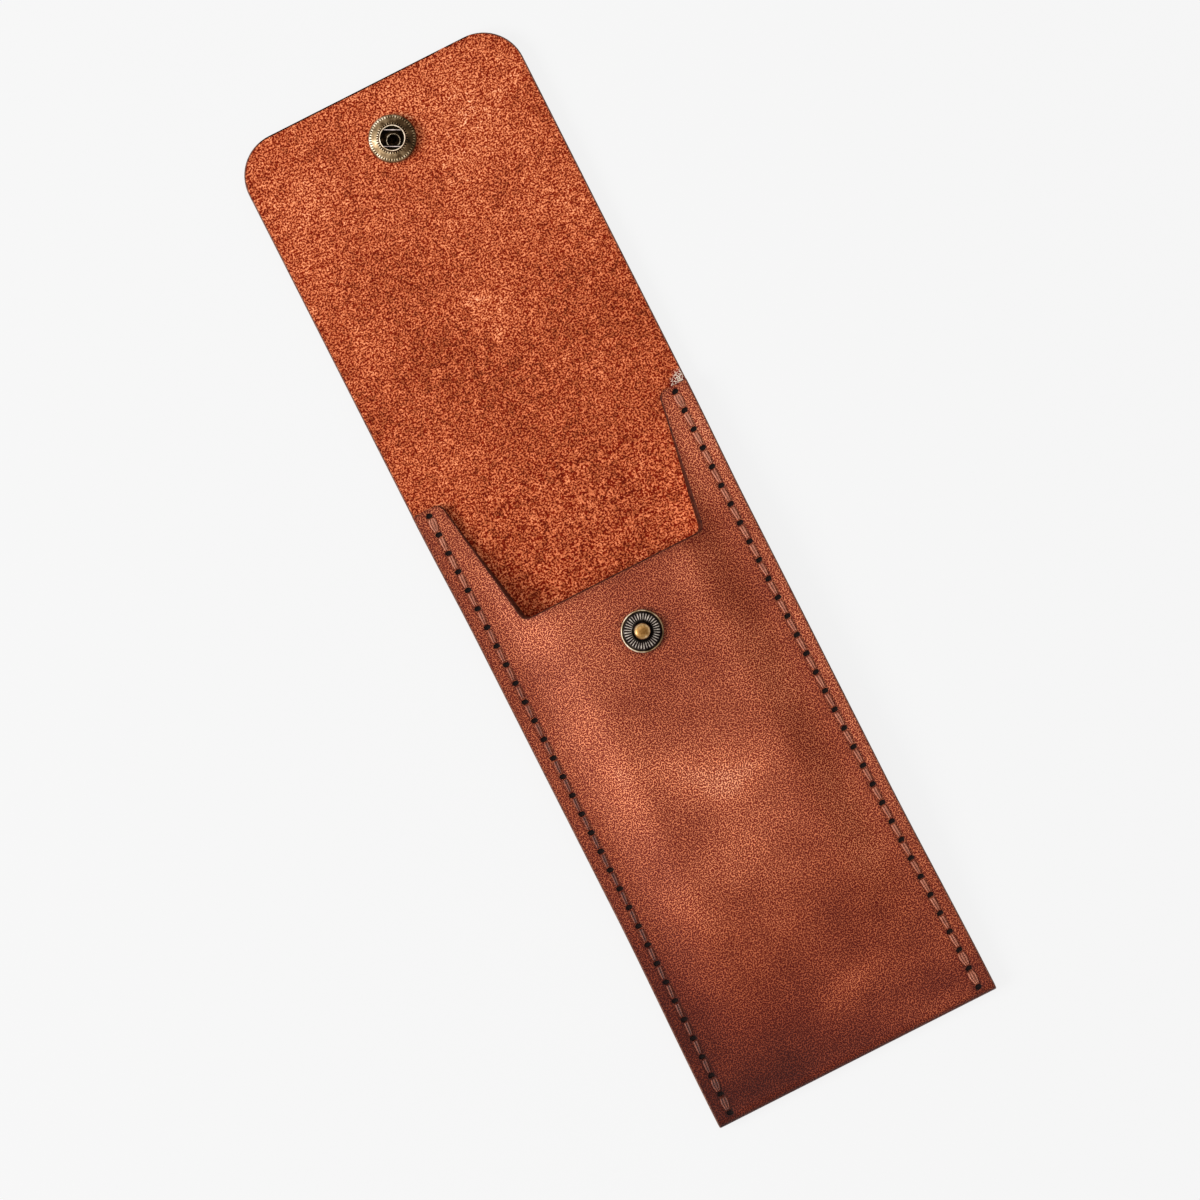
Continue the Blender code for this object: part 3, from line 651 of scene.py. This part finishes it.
flapPatches = [
    (0, 122, 44, 15, 0, 0.18), (16, 95, 8, 6, 20, -0.1), (-18, 86, 9, 8, -20, -0.06),
    (2, 73, 10, 5, 0, 0.12), (-30, 97, 12, 14, 0, 0.11), (26, 86, 12, 12, 0, 0.14),
    (0, 56, 48, 12, 0, -0.04), (-30, 41, 8, 7, 0, 0.1), (0, 92, 30, 20, 0, 0.02), (-26, 75, 8, 8, 0, 0.12),
    (24, 112, 8, 12, 0, 0.18), (-15, 123, 8, 5, 0, -0.14), (13, 105, 7, 7, 0, 0.12),
    (-25, 111, 6, 6, 0, 0.1), (3, 66, 7, 6, 0, 0.18), (9, 96, 6, 6, 0, 0.14),
]
hide = {
    "front": (0.46, frontPatches, 2.0), "flap": (0.47, flapPatches, 9.0),  # shade, patches, noise layer
    "drift": 0.05, "driftNoise": (16, 20),
    # how much darker edge dressing and handling make it, how dark the painted shade is round the awl holes,
    # in the bottom crease, beside the thread and round the stud, and the distances over which that fades
    "dressed": (0.25, 0.1, 0.7), "handled": (0.1, 0.5, 2.6),
    "holeShade": (0.5, 0.7, 1.5), "creaseShade": (0.7, 0.4, 1.1),
    "threadShadow": 0.85, "threadShadowAt": 0.74, "threadShadowWide": 0.2, "threadShadowEnds": 2.0,
    "studShadow": 0.5, "studShadowAt": 5.6, "studShadowWide": 0.5,
    "scuffSide": (32.2, 32.9), "scuffSlope": 0.7, "scuffHigh": 2.5,
}


def patchSum(patches, x, y):
    total = 0.0
    for px, py, wide, long, turn, amount in patches:
        angle = math.radians(turn)
        dx, dy = x - px, y - py
        u = (dx * math.cos(angle) + dy * math.sin(angle)) / wide
        v = (dy * math.cos(angle) - dx * math.sin(angle)) / long
        total += amount * math.exp(-(u * u + v * v))
    return total


def fading(distance, mark, level=0.0):
    amount, start, end = hide[mark]
    return amount * (1 - ramp(distance, level + start, level + end))


def wearAndPaintedShade(x, y, toRim, toHole):
    # how dark the grain is at a place: darker by edge dressing and handling, and by painted shade round the
    # awl holes, in the bottom crease, beside the thread and round the stud
    # painted shadow: thin dark lines along both sides of the thread
    offLine = abs(abs(x / across(1, y)) - case["seamX"]) - hide["threadShadowAt"]
    threadShadow = hide["threadShadow"] * bell(offLine, hide["threadShadowWide"])
    threadShadow *= y < case["earTopY"] - hide["threadShadowEnds"]
    # painted shadow: a dark ring on the leather round the stud
    studShadow = hide["studShadow"] * bell(fromStud(x, y) - hide["studShadowAt"], hide["studShadowWide"])
    # painted shade round the awl holes and in the bottom crease; the dressing near cut edges is real wear
    darkest = max(fading(toRim, "dressed"), fading(toHole, "holeShade"), threadShadow,
                  fading(y, "creaseShade", case["bottomY"]), studShadow)
    return min(darkest + fading(toRim, "handled"), 1.0)


def frayShade(x, y):
    # the hide is scuffed to bare fibres in the corner above the right ear
    foot = case["earTopY"]
    slope = foot + min(x - case["seamX"] + hide["scuffSlope"], hide["scuffHigh"])
    return (ramp(x, *hide["scuffSide"]) * ramp(y, foot - 0.8, foot - 0.2)
            * (1 - ramp(y, slope - 0.2, slope + 0.3)))


def unrolled(y):
    # along the skin where it turns round the bottom crease, so that the grain isn't drawn out there
    depth = (creaseY - y) / case["creaseRadius"]
    return creaseY - case["creaseRadius"] * math.asin(min(depth, 1)) if depth > 0 else y


def markLeather(obj, rimTree, holeTree):
    # the attributes that the leather materials read
    mesh = obj.data
    restPlace, pullUp, edgeShade, frayed = [], [], [], []
    for v in mesh.vertices:
        x, y, z = v.co / mm
        restPlace += (x, unrolled(y), z)
        inFront = y < case["earTopY"] and z > seamUnderside(y) + case["leather"] + 0.1
        pale, patches, layer = hide["front" if inFront else "flap"]
        # the patches bring painted light and shade into the tone, beside the hide's own pale and dark places
        pale += patchSum(patches, x, y)
        pullUp.append(pale + hide["drift"] * softNoise(x, y, *hide["driftNoise"], layer))
        frayed.append(frayShade(x, y))
        edgeShade.append(wearAndPaintedShade(x, y, rimTree.find((x, y, z))[2], holeTree.find((x, y, z))[2]))
    for face in mesh.polygons:
        x, y, z = face.center / mm
        roundMouth = case["mouthY"] - 1 < y < case["earTopY"] + 1 and abs(x) < case["halfWidth"] - 2
        # painted shade: the cut edges round the mouth and the ears take the darker copy of the edge
        if face.material_index == cutSide and roundMouth:
            face.material_index = mouthSide
    mesh.attributes.new("restPlace", "FLOAT_VECTOR", "POINT").data.foreach_set("vector", restPlace)
    for name, values in (("pullUp", pullUp), ("edgeShade", edgeShade), ("frayed", frayed)):
        mesh.attributes.new(name, "FLOAT", "POINT").data.foreach_set("value", values)
    smoothUnder(obj, 38)


def searchTree(points):
    tree = kdtree.KDTree(len(points))
    for index, point in enumerate(points):
        tree.insert(point, index)
    tree.balance()
    return tree


pouch = pouchSkin()
bends = []
for index, y in enumerate(hingeY):
    ends = y - foldPitch / 2, y + foldPitch / 2
    bends.append(flatSheet(f"foldSkin{index + 1}", *ends, sheets["bendStep"], False))
flap = flatSheet("flapSkin", hingeY[-1] + foldPitch / 2, case["tipY"], sheets["flapStep"], True)
awlMarks(pouch)
punchHole(pouch, case["studY"], *sheets["studHole"])
punchHole(flap, case["socketY"], *sheets["socketHole"])
rimTree = searchTree(leatherRims)
holePoints = [Vector((across(side * case["seamX"], y), y, level(side * case["seamX"], y)))
              for side in (-1, 1) for y in stitchHoles() for level in (frontTop, backUnderside)]
holeTree = searchTree(holePoints)
for sheet in [pouch, flap] + bends:
    markLeather(sheet, rimTree, holeTree)
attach(pouch, "case")
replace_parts(pouch, "front_panel", "back_panel")
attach(flap, "flap")
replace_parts(flap, "flap_panel")
for joint, y, bend in zip(frame["joints"], hingeY, bends):
    start, end = (0, (y - foldPitch / 2) * mm, 0), (0, (y + foldPitch / 2) * mm, 0)
    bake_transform(bend)
    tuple(start)
    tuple(end)
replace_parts(bends[0], "fold_strip_1")
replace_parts(bends[1], "fold_strip_2")
print("leather laid:", len(pouch.data.polygons), "faces in the pouch")


# saddle stitching

stitchLook = {
    "plyWide": 0.27, "plyHigh": 0.22,  # half sizes of one ply
    "plyApart": 0.54, "rise": 0.16, "sink": 1.0, "dive": 0.11, "slant": 0.12, "gap": 0.10,
    "slimStart": (0.66, 0.34, 0.6), "slimEnd": (0.8, 0.2, 0.12),  # share of the width, gain, by where
    "doubled": [(0.38, 0.02), (-0.38, 0.16)], "wander": 0.05,  # of doubled stitches: sideways and up
    "dark": 0.40, "rubbed": 0.45,
    "dirtLeft": 0.54, "dirtRight": 0.12, "dirtFrom": -30.0, "dirtTo": 70.0, "dirtCurve": 0.7,
    "along": 18, "round": 8,
}


def threadDirt(side, y):
    # the thread has taken up more wax and dirt down the left seam
    most = stitchLook["dirtLeft" if side < 0 else "dirtRight"]
    return most * ramp(-y, stitchLook["dirtFrom"], stitchLook["dirtTo"]) ** stitchLook["dirtCurve"]


def slimShare(u, share, gain, reach):
    return share + gain * ramp(u, 0.0, reach)


def layStitch(bm, layer, side, face, low, high, shift, lift):
    # one stitch between two holes as two flat plies; face is 1 on the front and -1 on the back
    look, gap, line = stitchLook, stitchLook["gap"], side * case["seamX"]
    for ply in (-0.5, 0.5):
        made = bmesh.ops.create_grid(bm, x_segments=look["along"], y_segments=look["round"], size=0.5)
        for v in made["verts"]:
            u, turn = v.co.x + 0.5, (v.co.y + 0.5) * math.tau
            y = low + (high - low) * (gap + (1 - 2 * gap) * u)
            up = ramp(min(u, 1 - u), 0.0, look["dive"])
            slim = slimShare(u, *look["slimStart"]) * slimShare(1 - u, *look["slimEnd"])
            level = -look["sink"] * (1 - up) + (look["rise"] + lift) * up
            belly = math.sin(math.pi * u ** 1.3)  # doubled stitches part in the middle
            sway = shift * (0.25 + 0.75 * belly) + look["slant"] * side * (0.5 - u) * 2
            offset = ply * look["plyApart"] + look["plyWide"] * math.cos(turn)
            x = across(line, y) + sway + offset * slim
            z = level + look["plyHigh"] * math.sin(turn)
            surface = frontTop(line, y) if face > 0 else backUnderside(line, y)
            # painted shade: darkest in the crevice between the plies, paler towards their outer edges
            rubbed = min(abs(offset) / (look["plyWide"] + look["plyApart"] / 2), 1.0)
            shade = look["dark"] + look["rubbed"] * rubbed  # dark between the plies
            v[layer] = (y, turn / math.tau, shade - threadDirt(side, y))
            v.co = (x, y, surface + face * z)


def seamThread(name, side):
    bm = bmesh.new()
    layer = bm.verts.layers.float_vector.new("plyPlace")
    holes = stitchHoles()
    for face in (1, -1):
        for index in range(len(holes) - 1):
            low, high = holes[index], holes[index + 1]
            if index in (0, 1, len(holes) - 2):
                for shift, lift in stitchLook["doubled"]:
                    layStitch(bm, layer, side, face, low, high, shift, lift)
            else:
                layStitch(bm, layer, side, face, low, high, stitchLook["wander"] * math.sin(index * 2.3), 0.0)
    bmesh.ops.remove_doubles(bm, verts=bm.verts, dist=0.0005)
    bmesh.ops.holes_fill(bm, edges=[e for e in bm.edges if e.is_boundary], sides=0)
    bmesh.ops.recalc_face_normals(bm, faces=bm.faces)
    obj = finishMesh(name, bm, [thread])
    smoothUnder(obj, 60)
    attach(obj, "case")
    return obj


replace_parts(seamThread("leftSeamStitches", -1), "left_seam_thread")
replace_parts(seamThread("rightSeamStitches", 1), "right_seam_thread")
print("seams stitched")


# snap fastener, its pieces turned from profiles of (radius, height, how far the finish is rubbed bright)

def turnedPiece(name, look, y, shapeAt=None):
    bm = bmesh.new()
    layer = bm.verts.layers.float.new("rubbed")
    ring = []
    for radius, height, rubbed in look["profile"]:
        v = bm.verts.new((radius, 0, height))
        v[layer] = rubbed
        ring.append(v)
    edges = [bm.edges.new(pair) for pair in zip(ring, ring[1:]) if pair[0].co.x or pair[1].co.x]
    if ring[0].co.x and ring[-1].co.x:
        edges.append(bm.edges.new((ring[-1], ring[0])))
    bmesh.ops.spin(bm, geom=ring + edges, cent=(0, 0, 0), axis=(0, 0, 1), angle=math.tau, steps=look["steps"],
                   use_merge=True)
    bmesh.ops.remove_doubles(bm, verts=bm.verts, dist=0.0005)
    if shapeAt:
        for v in bm.verts:
            shapeAt(v, math.hypot(v.co.x, v.co.y), math.atan2(v.co.y, v.co.x), layer)
    bmesh.ops.recalc_face_normals(bm, faces=bm.faces)
    bmesh.ops.translate(bm, vec=(0, y, look["seat"]), verts=bm.verts)
    obj = finishMesh(name, bm, [antiqueBrass])
    smoothUnder(obj, 32)
    return obj


def paintedLitSide(angle):
    # painted light: the snap's rings are painted brighter on the side that faces the key lamp, and darker on
    # the side away from it
    return math.cos(angle - math.radians(163))


studLook = {
    "seat": 13.6, "steps": 288, "flutes": 36, "fluteDeep": 0.035, "fluteIn": 2.7, "fluteOut": 4.25,
    "crestBright": 0.62, "hollowDark": 0.25, "litSideFrom": 2.3, "litSideGain": 0.18,
    "fluteFrom": 0.3, "fluteTo": 0.64, "blackTo": 4.66, "knobFrom": 1.2,
    "profile": [
        (0.0, 2.65, 0.0), (1.15, 2.65, 0.0), (1.15, 0.0, 0.2), (4.7, 0.0, 0.2), (5.05, 0.1, 0.4),
        (5.2, 0.38, 0.5), (5.2, 0.62, 0.45), (5.12, 0.84, 0.72), (5.00, 0.96, 0.8), (4.86, 0.98, 0.5),
        (4.76, 0.9, 0.35), (4.7, 0.7, 0.1), (4.58, 0.52, 0.05), (4.3, 0.5, 0.1), (4.2, 0.5, 0.18),
        (3.65, 0.52, 0.25), (2.95, 0.56, 0.18), (2.76, 0.6, 0.05), (2.62, 0.74, 0.14), (2.5, 0.8, 0.1),
        (2.38, 0.74, 0.0), (2.25, 0.48, 0.0), (1.8, 0.46, 0.0), (1.64, 0.6, 0.1), (1.62, 1.6, 0.2),
        (1.78, 1.95, 0.4), (1.92, 2.12, 0.7), (1.95, 2.3, 0.85), (1.87, 2.55, 0.92), (1.65, 2.8, 0.8),
        (1.25, 2.96, 0.62), (0.7, 3.05, 0.5), (0.0, 3.07, 0.46),
    ],
}


def fluteStud(v, radius, angle, layer):
    # stamped radial flutes on the sunk floor
    look = studLook
    if look["fluteFrom"] < v.co.z < look["fluteTo"] and look["fluteIn"] < radius < look["fluteOut"]:
        wave = math.cos(look["flutes"] * angle)
        v.co.z += look["fluteDeep"] * wave
        v[layer] += look["crestBright"] * max(wave, 0.0) ** 2 + look["hollowDark"] * min(wave, 0.0)
    elif radius > look["litSideFrom"]:
        # painted light: brighter on the side that faces the key lamp
        v[layer] += look["litSideGain"] * paintedLitSide(angle)


stud = turnedPiece("snapStud", studLook, case["studY"], fluteStud)
stud.data.materials.append(wornBrass)
stud.data.materials.append(flutedBrass)
for face in stud.data.polygons:
    x, y, z = face.center / mm
    if z > studLook["seat"] + studLook["knobFrom"]:
        face.material_index = 1  # the knob is rubbed down to golden brass
    elif z > studLook["seat"] + studLook["fluteFrom"] and fromStud(x, y) < studLook["blackTo"]:
        face.material_index = 2  # and the fluted floor is still black
print("stud turned")

rivetLook = {
    "seat": 10.4, "steps": 96,
    "profile": [
        (0.5, 5.45, 0.2), (0.5, 0.3, 0.1), (0.0, 0.3, 0.1), (0.0, 0.0, 0.5), (2.4, 0.02, 0.54),
        (3.9, 0.1, 0.6), (4.36, 0.28, 0.66), (4.5, 0.46, 0.6), (4.42, 0.6, 0.5), (0.9, 0.6, 0.2),
        (0.9, 5.45, 0.2),
    ],
}

socketLook = {
    "seat": 4.5, "steps": 336, "litSideFrom": 3.3, "litSideGain": 0.22, "dulled": 0.05, "outside": 0.2,
    "notches": 52, "notchDeep": 0.16, "notchIn": 5.0, "notchOut": 5.42, "notchFrom": 1.5, "notchDark": 0.9,
    "dots": 38, "dotHigh": 0.08, "dotIn": 3.44, "dotOut": 3.78, "dotFrom": 2.2,
    "dotDark": 0.7, "dotBright": 0.25,
    "profile": [
        (1.9, 0.0, 0.1), (5.55, 0.0, 0.2), (5.76, 0.12, 0.3), (5.8, 0.4, 0.4), (5.8, 1.1, 0.5),
        (5.75, 1.46, 0.6), (5.62, 1.68, 0.62), (5.48, 1.78, 0.62), (5.38, 1.82, 0.74), (5.22, 1.86, 0.8),
        (5.06, 1.88, 0.74), (4.94, 1.89, 0.5), (4.8, 1.94, 0.5), (4.5, 2.1, 0.5), (4.2, 2.25, 0.5),
        (4.00, 2.31, 0.5), (3.84, 2.36, 0.5), (3.72, 2.4, 0.5), (3.6, 2.44, 0.55), (3.48, 2.48, 0.5),
        (3.36, 2.54, 0.2), (3.24, 2.72, 0.5), (3.17, 2.88, 0.9), (3.06, 2.97, 1.0), (2.95, 2.98, 0.9),
        (2.87, 2.88, 0.2), (2.84, 2.55, 0.0), (2.95, 2.36, 0.0), (4.8, 1.3, 0.0), (5.00, 1.00, 0.0),
        (5.00, 0.5, 0.0), (1.9, 0.5, 0.0),
    ],
}


def notchSocket(v, radius, angle, layer):
    # a ring of milled teeth inside the smooth rim, and a ring of small dots inside the bare band
    look = socketLook
    if radius > look["litSideFrom"] and v.co.z > look["outside"]:
        # painted light: brighter on the side that faces the key lamp
        v[layer] += look["litSideGain"] * paintedLitSide(angle) - look["dulled"]
    if look["notchIn"] < radius < look["notchOut"] and v.co.z > look["notchFrom"]:
        wave = math.cos(look["notches"] * angle)
        v.co.z -= look["notchDeep"] * max(-wave, 0.0)
        v[layer] += look["notchDark"] * min(wave, 0.0)
    elif look["dotIn"] < radius < look["dotOut"] and v.co.z > look["dotFrom"]:
        wave = math.cos(look["dots"] * angle)
        v.co.z += look["dotHigh"] * wave
        v[layer] += look["dotDark"] * min(wave, 0.0) + look["dotBright"] * max(wave, 0.0)


capLook = {
    "seat": 0.0, "steps": 128, "lean": 0.5, "leanHeight": (4.9, 5.2), "leanRadius": (1.65, 2.05),
    "profile": [
        (0.0, 0.0, 0.58), (2.6, 0.02, 0.58), (4.2, 0.22, 0.56), (5.3, 0.62, 0.58), (5.95, 1.12, 0.66),
        (6.22, 1.5, 0.74), (6.25, 1.72, 0.66), (6.12, 1.88, 0.4), (5.9, 1.9, 0.2), (1.6, 1.9, 0.1),
        (1.6, 4.9, 0.0), (1.66, 5.16, 0.0), (1.9, 5.16, 0.0), (2.14, 5.2, 0.0), (2.18, 5.26, 0.0),
        (2.02, 5.32, 0.0), (1.76, 5.38, 0.1), (1.67, 5.48, 0.8), (1.57, 5.5, 0.9), (1.5, 5.44, 0.1),
        (1.18, 5.2, 0.0), (1.0, 5.0, 0.0), (1.0, 1.0, 0.0), (0.0, 1.0, 0.0),
    ],
}


def leanTube(v, radius, angle, layer):
    # the tube was set a little off the socket's middle
    low, outside = ramp(v.co.z, *capLook["leanHeight"]), ramp(radius, *capLook["leanRadius"])
    v.co.y -= capLook["lean"] * low * (1 - outside)


rivet = turnedPiece("studRivet", rivetLook, case["studY"])
socket = turnedPiece("snapSocket", socketLook, case["socketY"], notchSocket)
cap = turnedPiece("snapCap", capLook, case["socketY"], leanTube)

springLook = {
    "wire": 0.6, "legs": 4.0, "reach": 3.1, "level": 1.95, "turn": -27.0, "bowSteps": 16,
    "oiled": 0.05, "crestHighlight": 0.9, "crest": 0.88,
}


def springPiece():
    # a bent wire: two straight legs beside the knob's way in, joined by a bow
    look = springLook
    bow, steps = math.asin(look["legs"] / 2 / look["reach"]), look["bowSteps"]
    turns = [math.pi - bow] + [bow - 2 * bow * i / steps for i in range(steps + 1)] + [bow - math.pi]
    points = [Vector((math.cos(a), math.sin(a), 0)) * look["reach"] for a in turns]
    curve = bpy.data.curves.new("springPath", "CURVE")
    curve.dimensions = "3D"
    curve.bevel_depth = look["wire"] / 2
    curve.bevel_resolution = 7
    curve.use_fill_caps = True
    spline = curve.splines.new("POLY")
    spline.points.add(len(points) - 1)
    for target, point in zip(spline.points, points):
        target.co = (*point, 1)
    holder = bpy.data.objects.new("springPath", curve)
    bm = bmesh.new()
    bm.from_mesh(holder.to_mesh())
    bpy.data.objects.remove(holder)
    bmesh.ops.remove_doubles(bm, verts=bm.verts, dist=0.0005)
    bmesh.ops.recalc_face_normals(bm, faces=bm.faces)
    layer = bm.verts.layers.float.new("rubbed")
    for v in bm.verts:  # painted highlight: the oiled wire is dark, with a painted highlight along its crest
        v[layer] = look["oiled"] + look["crestHighlight"] * ramp(v.co.z / look["wire"] * 2, look["crest"], 1.0)
    level = socketLook["seat"] + look["level"]
    bmesh.ops.rotate(bm, verts=bm.verts, matrix=Matrix.Rotation(math.radians(look["turn"]), 3, "Z"))
    bmesh.ops.translate(bm, vec=(0, case["socketY"], level), verts=bm.verts)
    obj = finishMesh("socketSpring", bm, [springWire])
    smoothUnder(obj, 40)
    return obj


spring = springPiece()
for obj, body, node, slot in (
    (stud, "case", "snap_stud", "antique_brass"), (rivet, "case", "stud_rivet", "antique_brass"),
    (socket, "flap", "snap_socket", "antique_brass"), (cap, "flap", "snap_cap", "antique_brass"),
    (spring, "flap", "socket_spring", "spring_steel"),
):
    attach(obj, body)
    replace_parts(obj, node)
print("snap ready")


# floor, light and camera

studio = {
    "paper": "#F7F7F7", "floorSize": 4000.0, "floorDrop": 0.02, "shadowKeep": 0.09, "air": 0.25,
    "lamps": [("keyLamp", (-1360, 300, 1300), 1100, 25.0), ("overheadLamp", (-100, 150, 1500), 1500, 7.0)],
    "cameraAt": (-5.6, -4.5, 1203.0), "lens": 150.0, "turn": -0.4690, "clip": (0.01, 20.0),
}


def seenDirectly(tree):
    # 1 for what the camera sees, straight or by a reflection or through glass
    path = addNode(tree, "LightPath").outputs
    seen = addNode(tree, "Math", plus, {0: path["Is Camera Ray"], 1: path["Is Glossy Ray"]})
    return addNode(tree, "Math", {"operation": "ADD", "use_clamp": True},
                   {0: seen, 1: path["Is Transmission Ray"]})


def paperMaterial():
    # matt seamless paper; most of what the camera sees is its own even white, and the rest keeps the shadow
    material, tree, shader = newMaterial("seamlessPaper")
    setNode(tree, shader, {"Base Color": linear(studio["paper"]), "Roughness": 0.9})
    glow = addNode(tree, "Emission", {"Color": linear(studio["paper"]), "Strength": 1.0})
    share = addNode(tree, "Math", {"operation": "MULTIPLY", 1: 1 - studio["shadowKeep"]},
                    {0: seenDirectly(tree)})
    mix = addNode(tree, "MixShader", {}, {0: share, 1: shader, 2: glow})
    tree.links.new(mix.outputs[0], tree.nodes["Material Output"].inputs["Surface"])
    return material


def floorPiece():
    bm = bmesh.new()
    bmesh.ops.create_grid(bm, x_segments=1, y_segments=1, size=studio["floorSize"] / 2)
    bmesh.ops.translate(bm, vec=(0, 0, -studio["floorDrop"]), verts=bm.verts)
    obj = finishMesh("floor", bm, [paperMaterial()])


def softLamp(name, place, size, power):
    data = bpy.data.lights.new(name, "AREA")
    data.shape = "DISK"
    data.size = size * mm
    data.energy = power
    lamp = bpy.data.objects.new(name, data)
    lamp.location = Vector(place) * mm
    lamp.rotation_euler = (-lamp.location).to_track_quat("-Z", "Y").to_euler()
    scene.collection.objects.link(lamp)


def paleWorld():
    world = bpy.data.worlds.new("studioAir")
    scene.world = world
    world.use_nodes = True
    tree = world.node_tree
    air = setNode(tree, tree.nodes["Background"], {"Color": (1, 1, 1, 1), "Strength": studio["air"]})
    backdrop = addNode(tree, "Background", {"Color": linear(studio["paper"]), "Strength": 1.0})
    mix = addNode(tree, "MixShader", {}, {0: seenDirectly(tree), 1: air, 2: backdrop})
    tree.links.new(mix.outputs[0], tree.nodes["World Output"].inputs["Surface"])


floorPiece()
for lamp in studio["lamps"]:
    softLamp(*lamp)
paleWorld()

cameraData = bpy.data.cameras.new("camera")
cameraData.lens = studio["lens"]
cameraData.sensor_width = 36.0
cameraData.clip_start, cameraData.clip_end = studio["clip"]
camera = bpy.data.objects.new("camera", cameraData)
camera.location = Vector(studio["cameraAt"]) * mm
camera.rotation_euler = (0, 0, studio["turn"])
scene.collection.objects.link(camera)
scene.camera = camera
scene.view_settings.view_transform = "Standard"
print("studio ready")
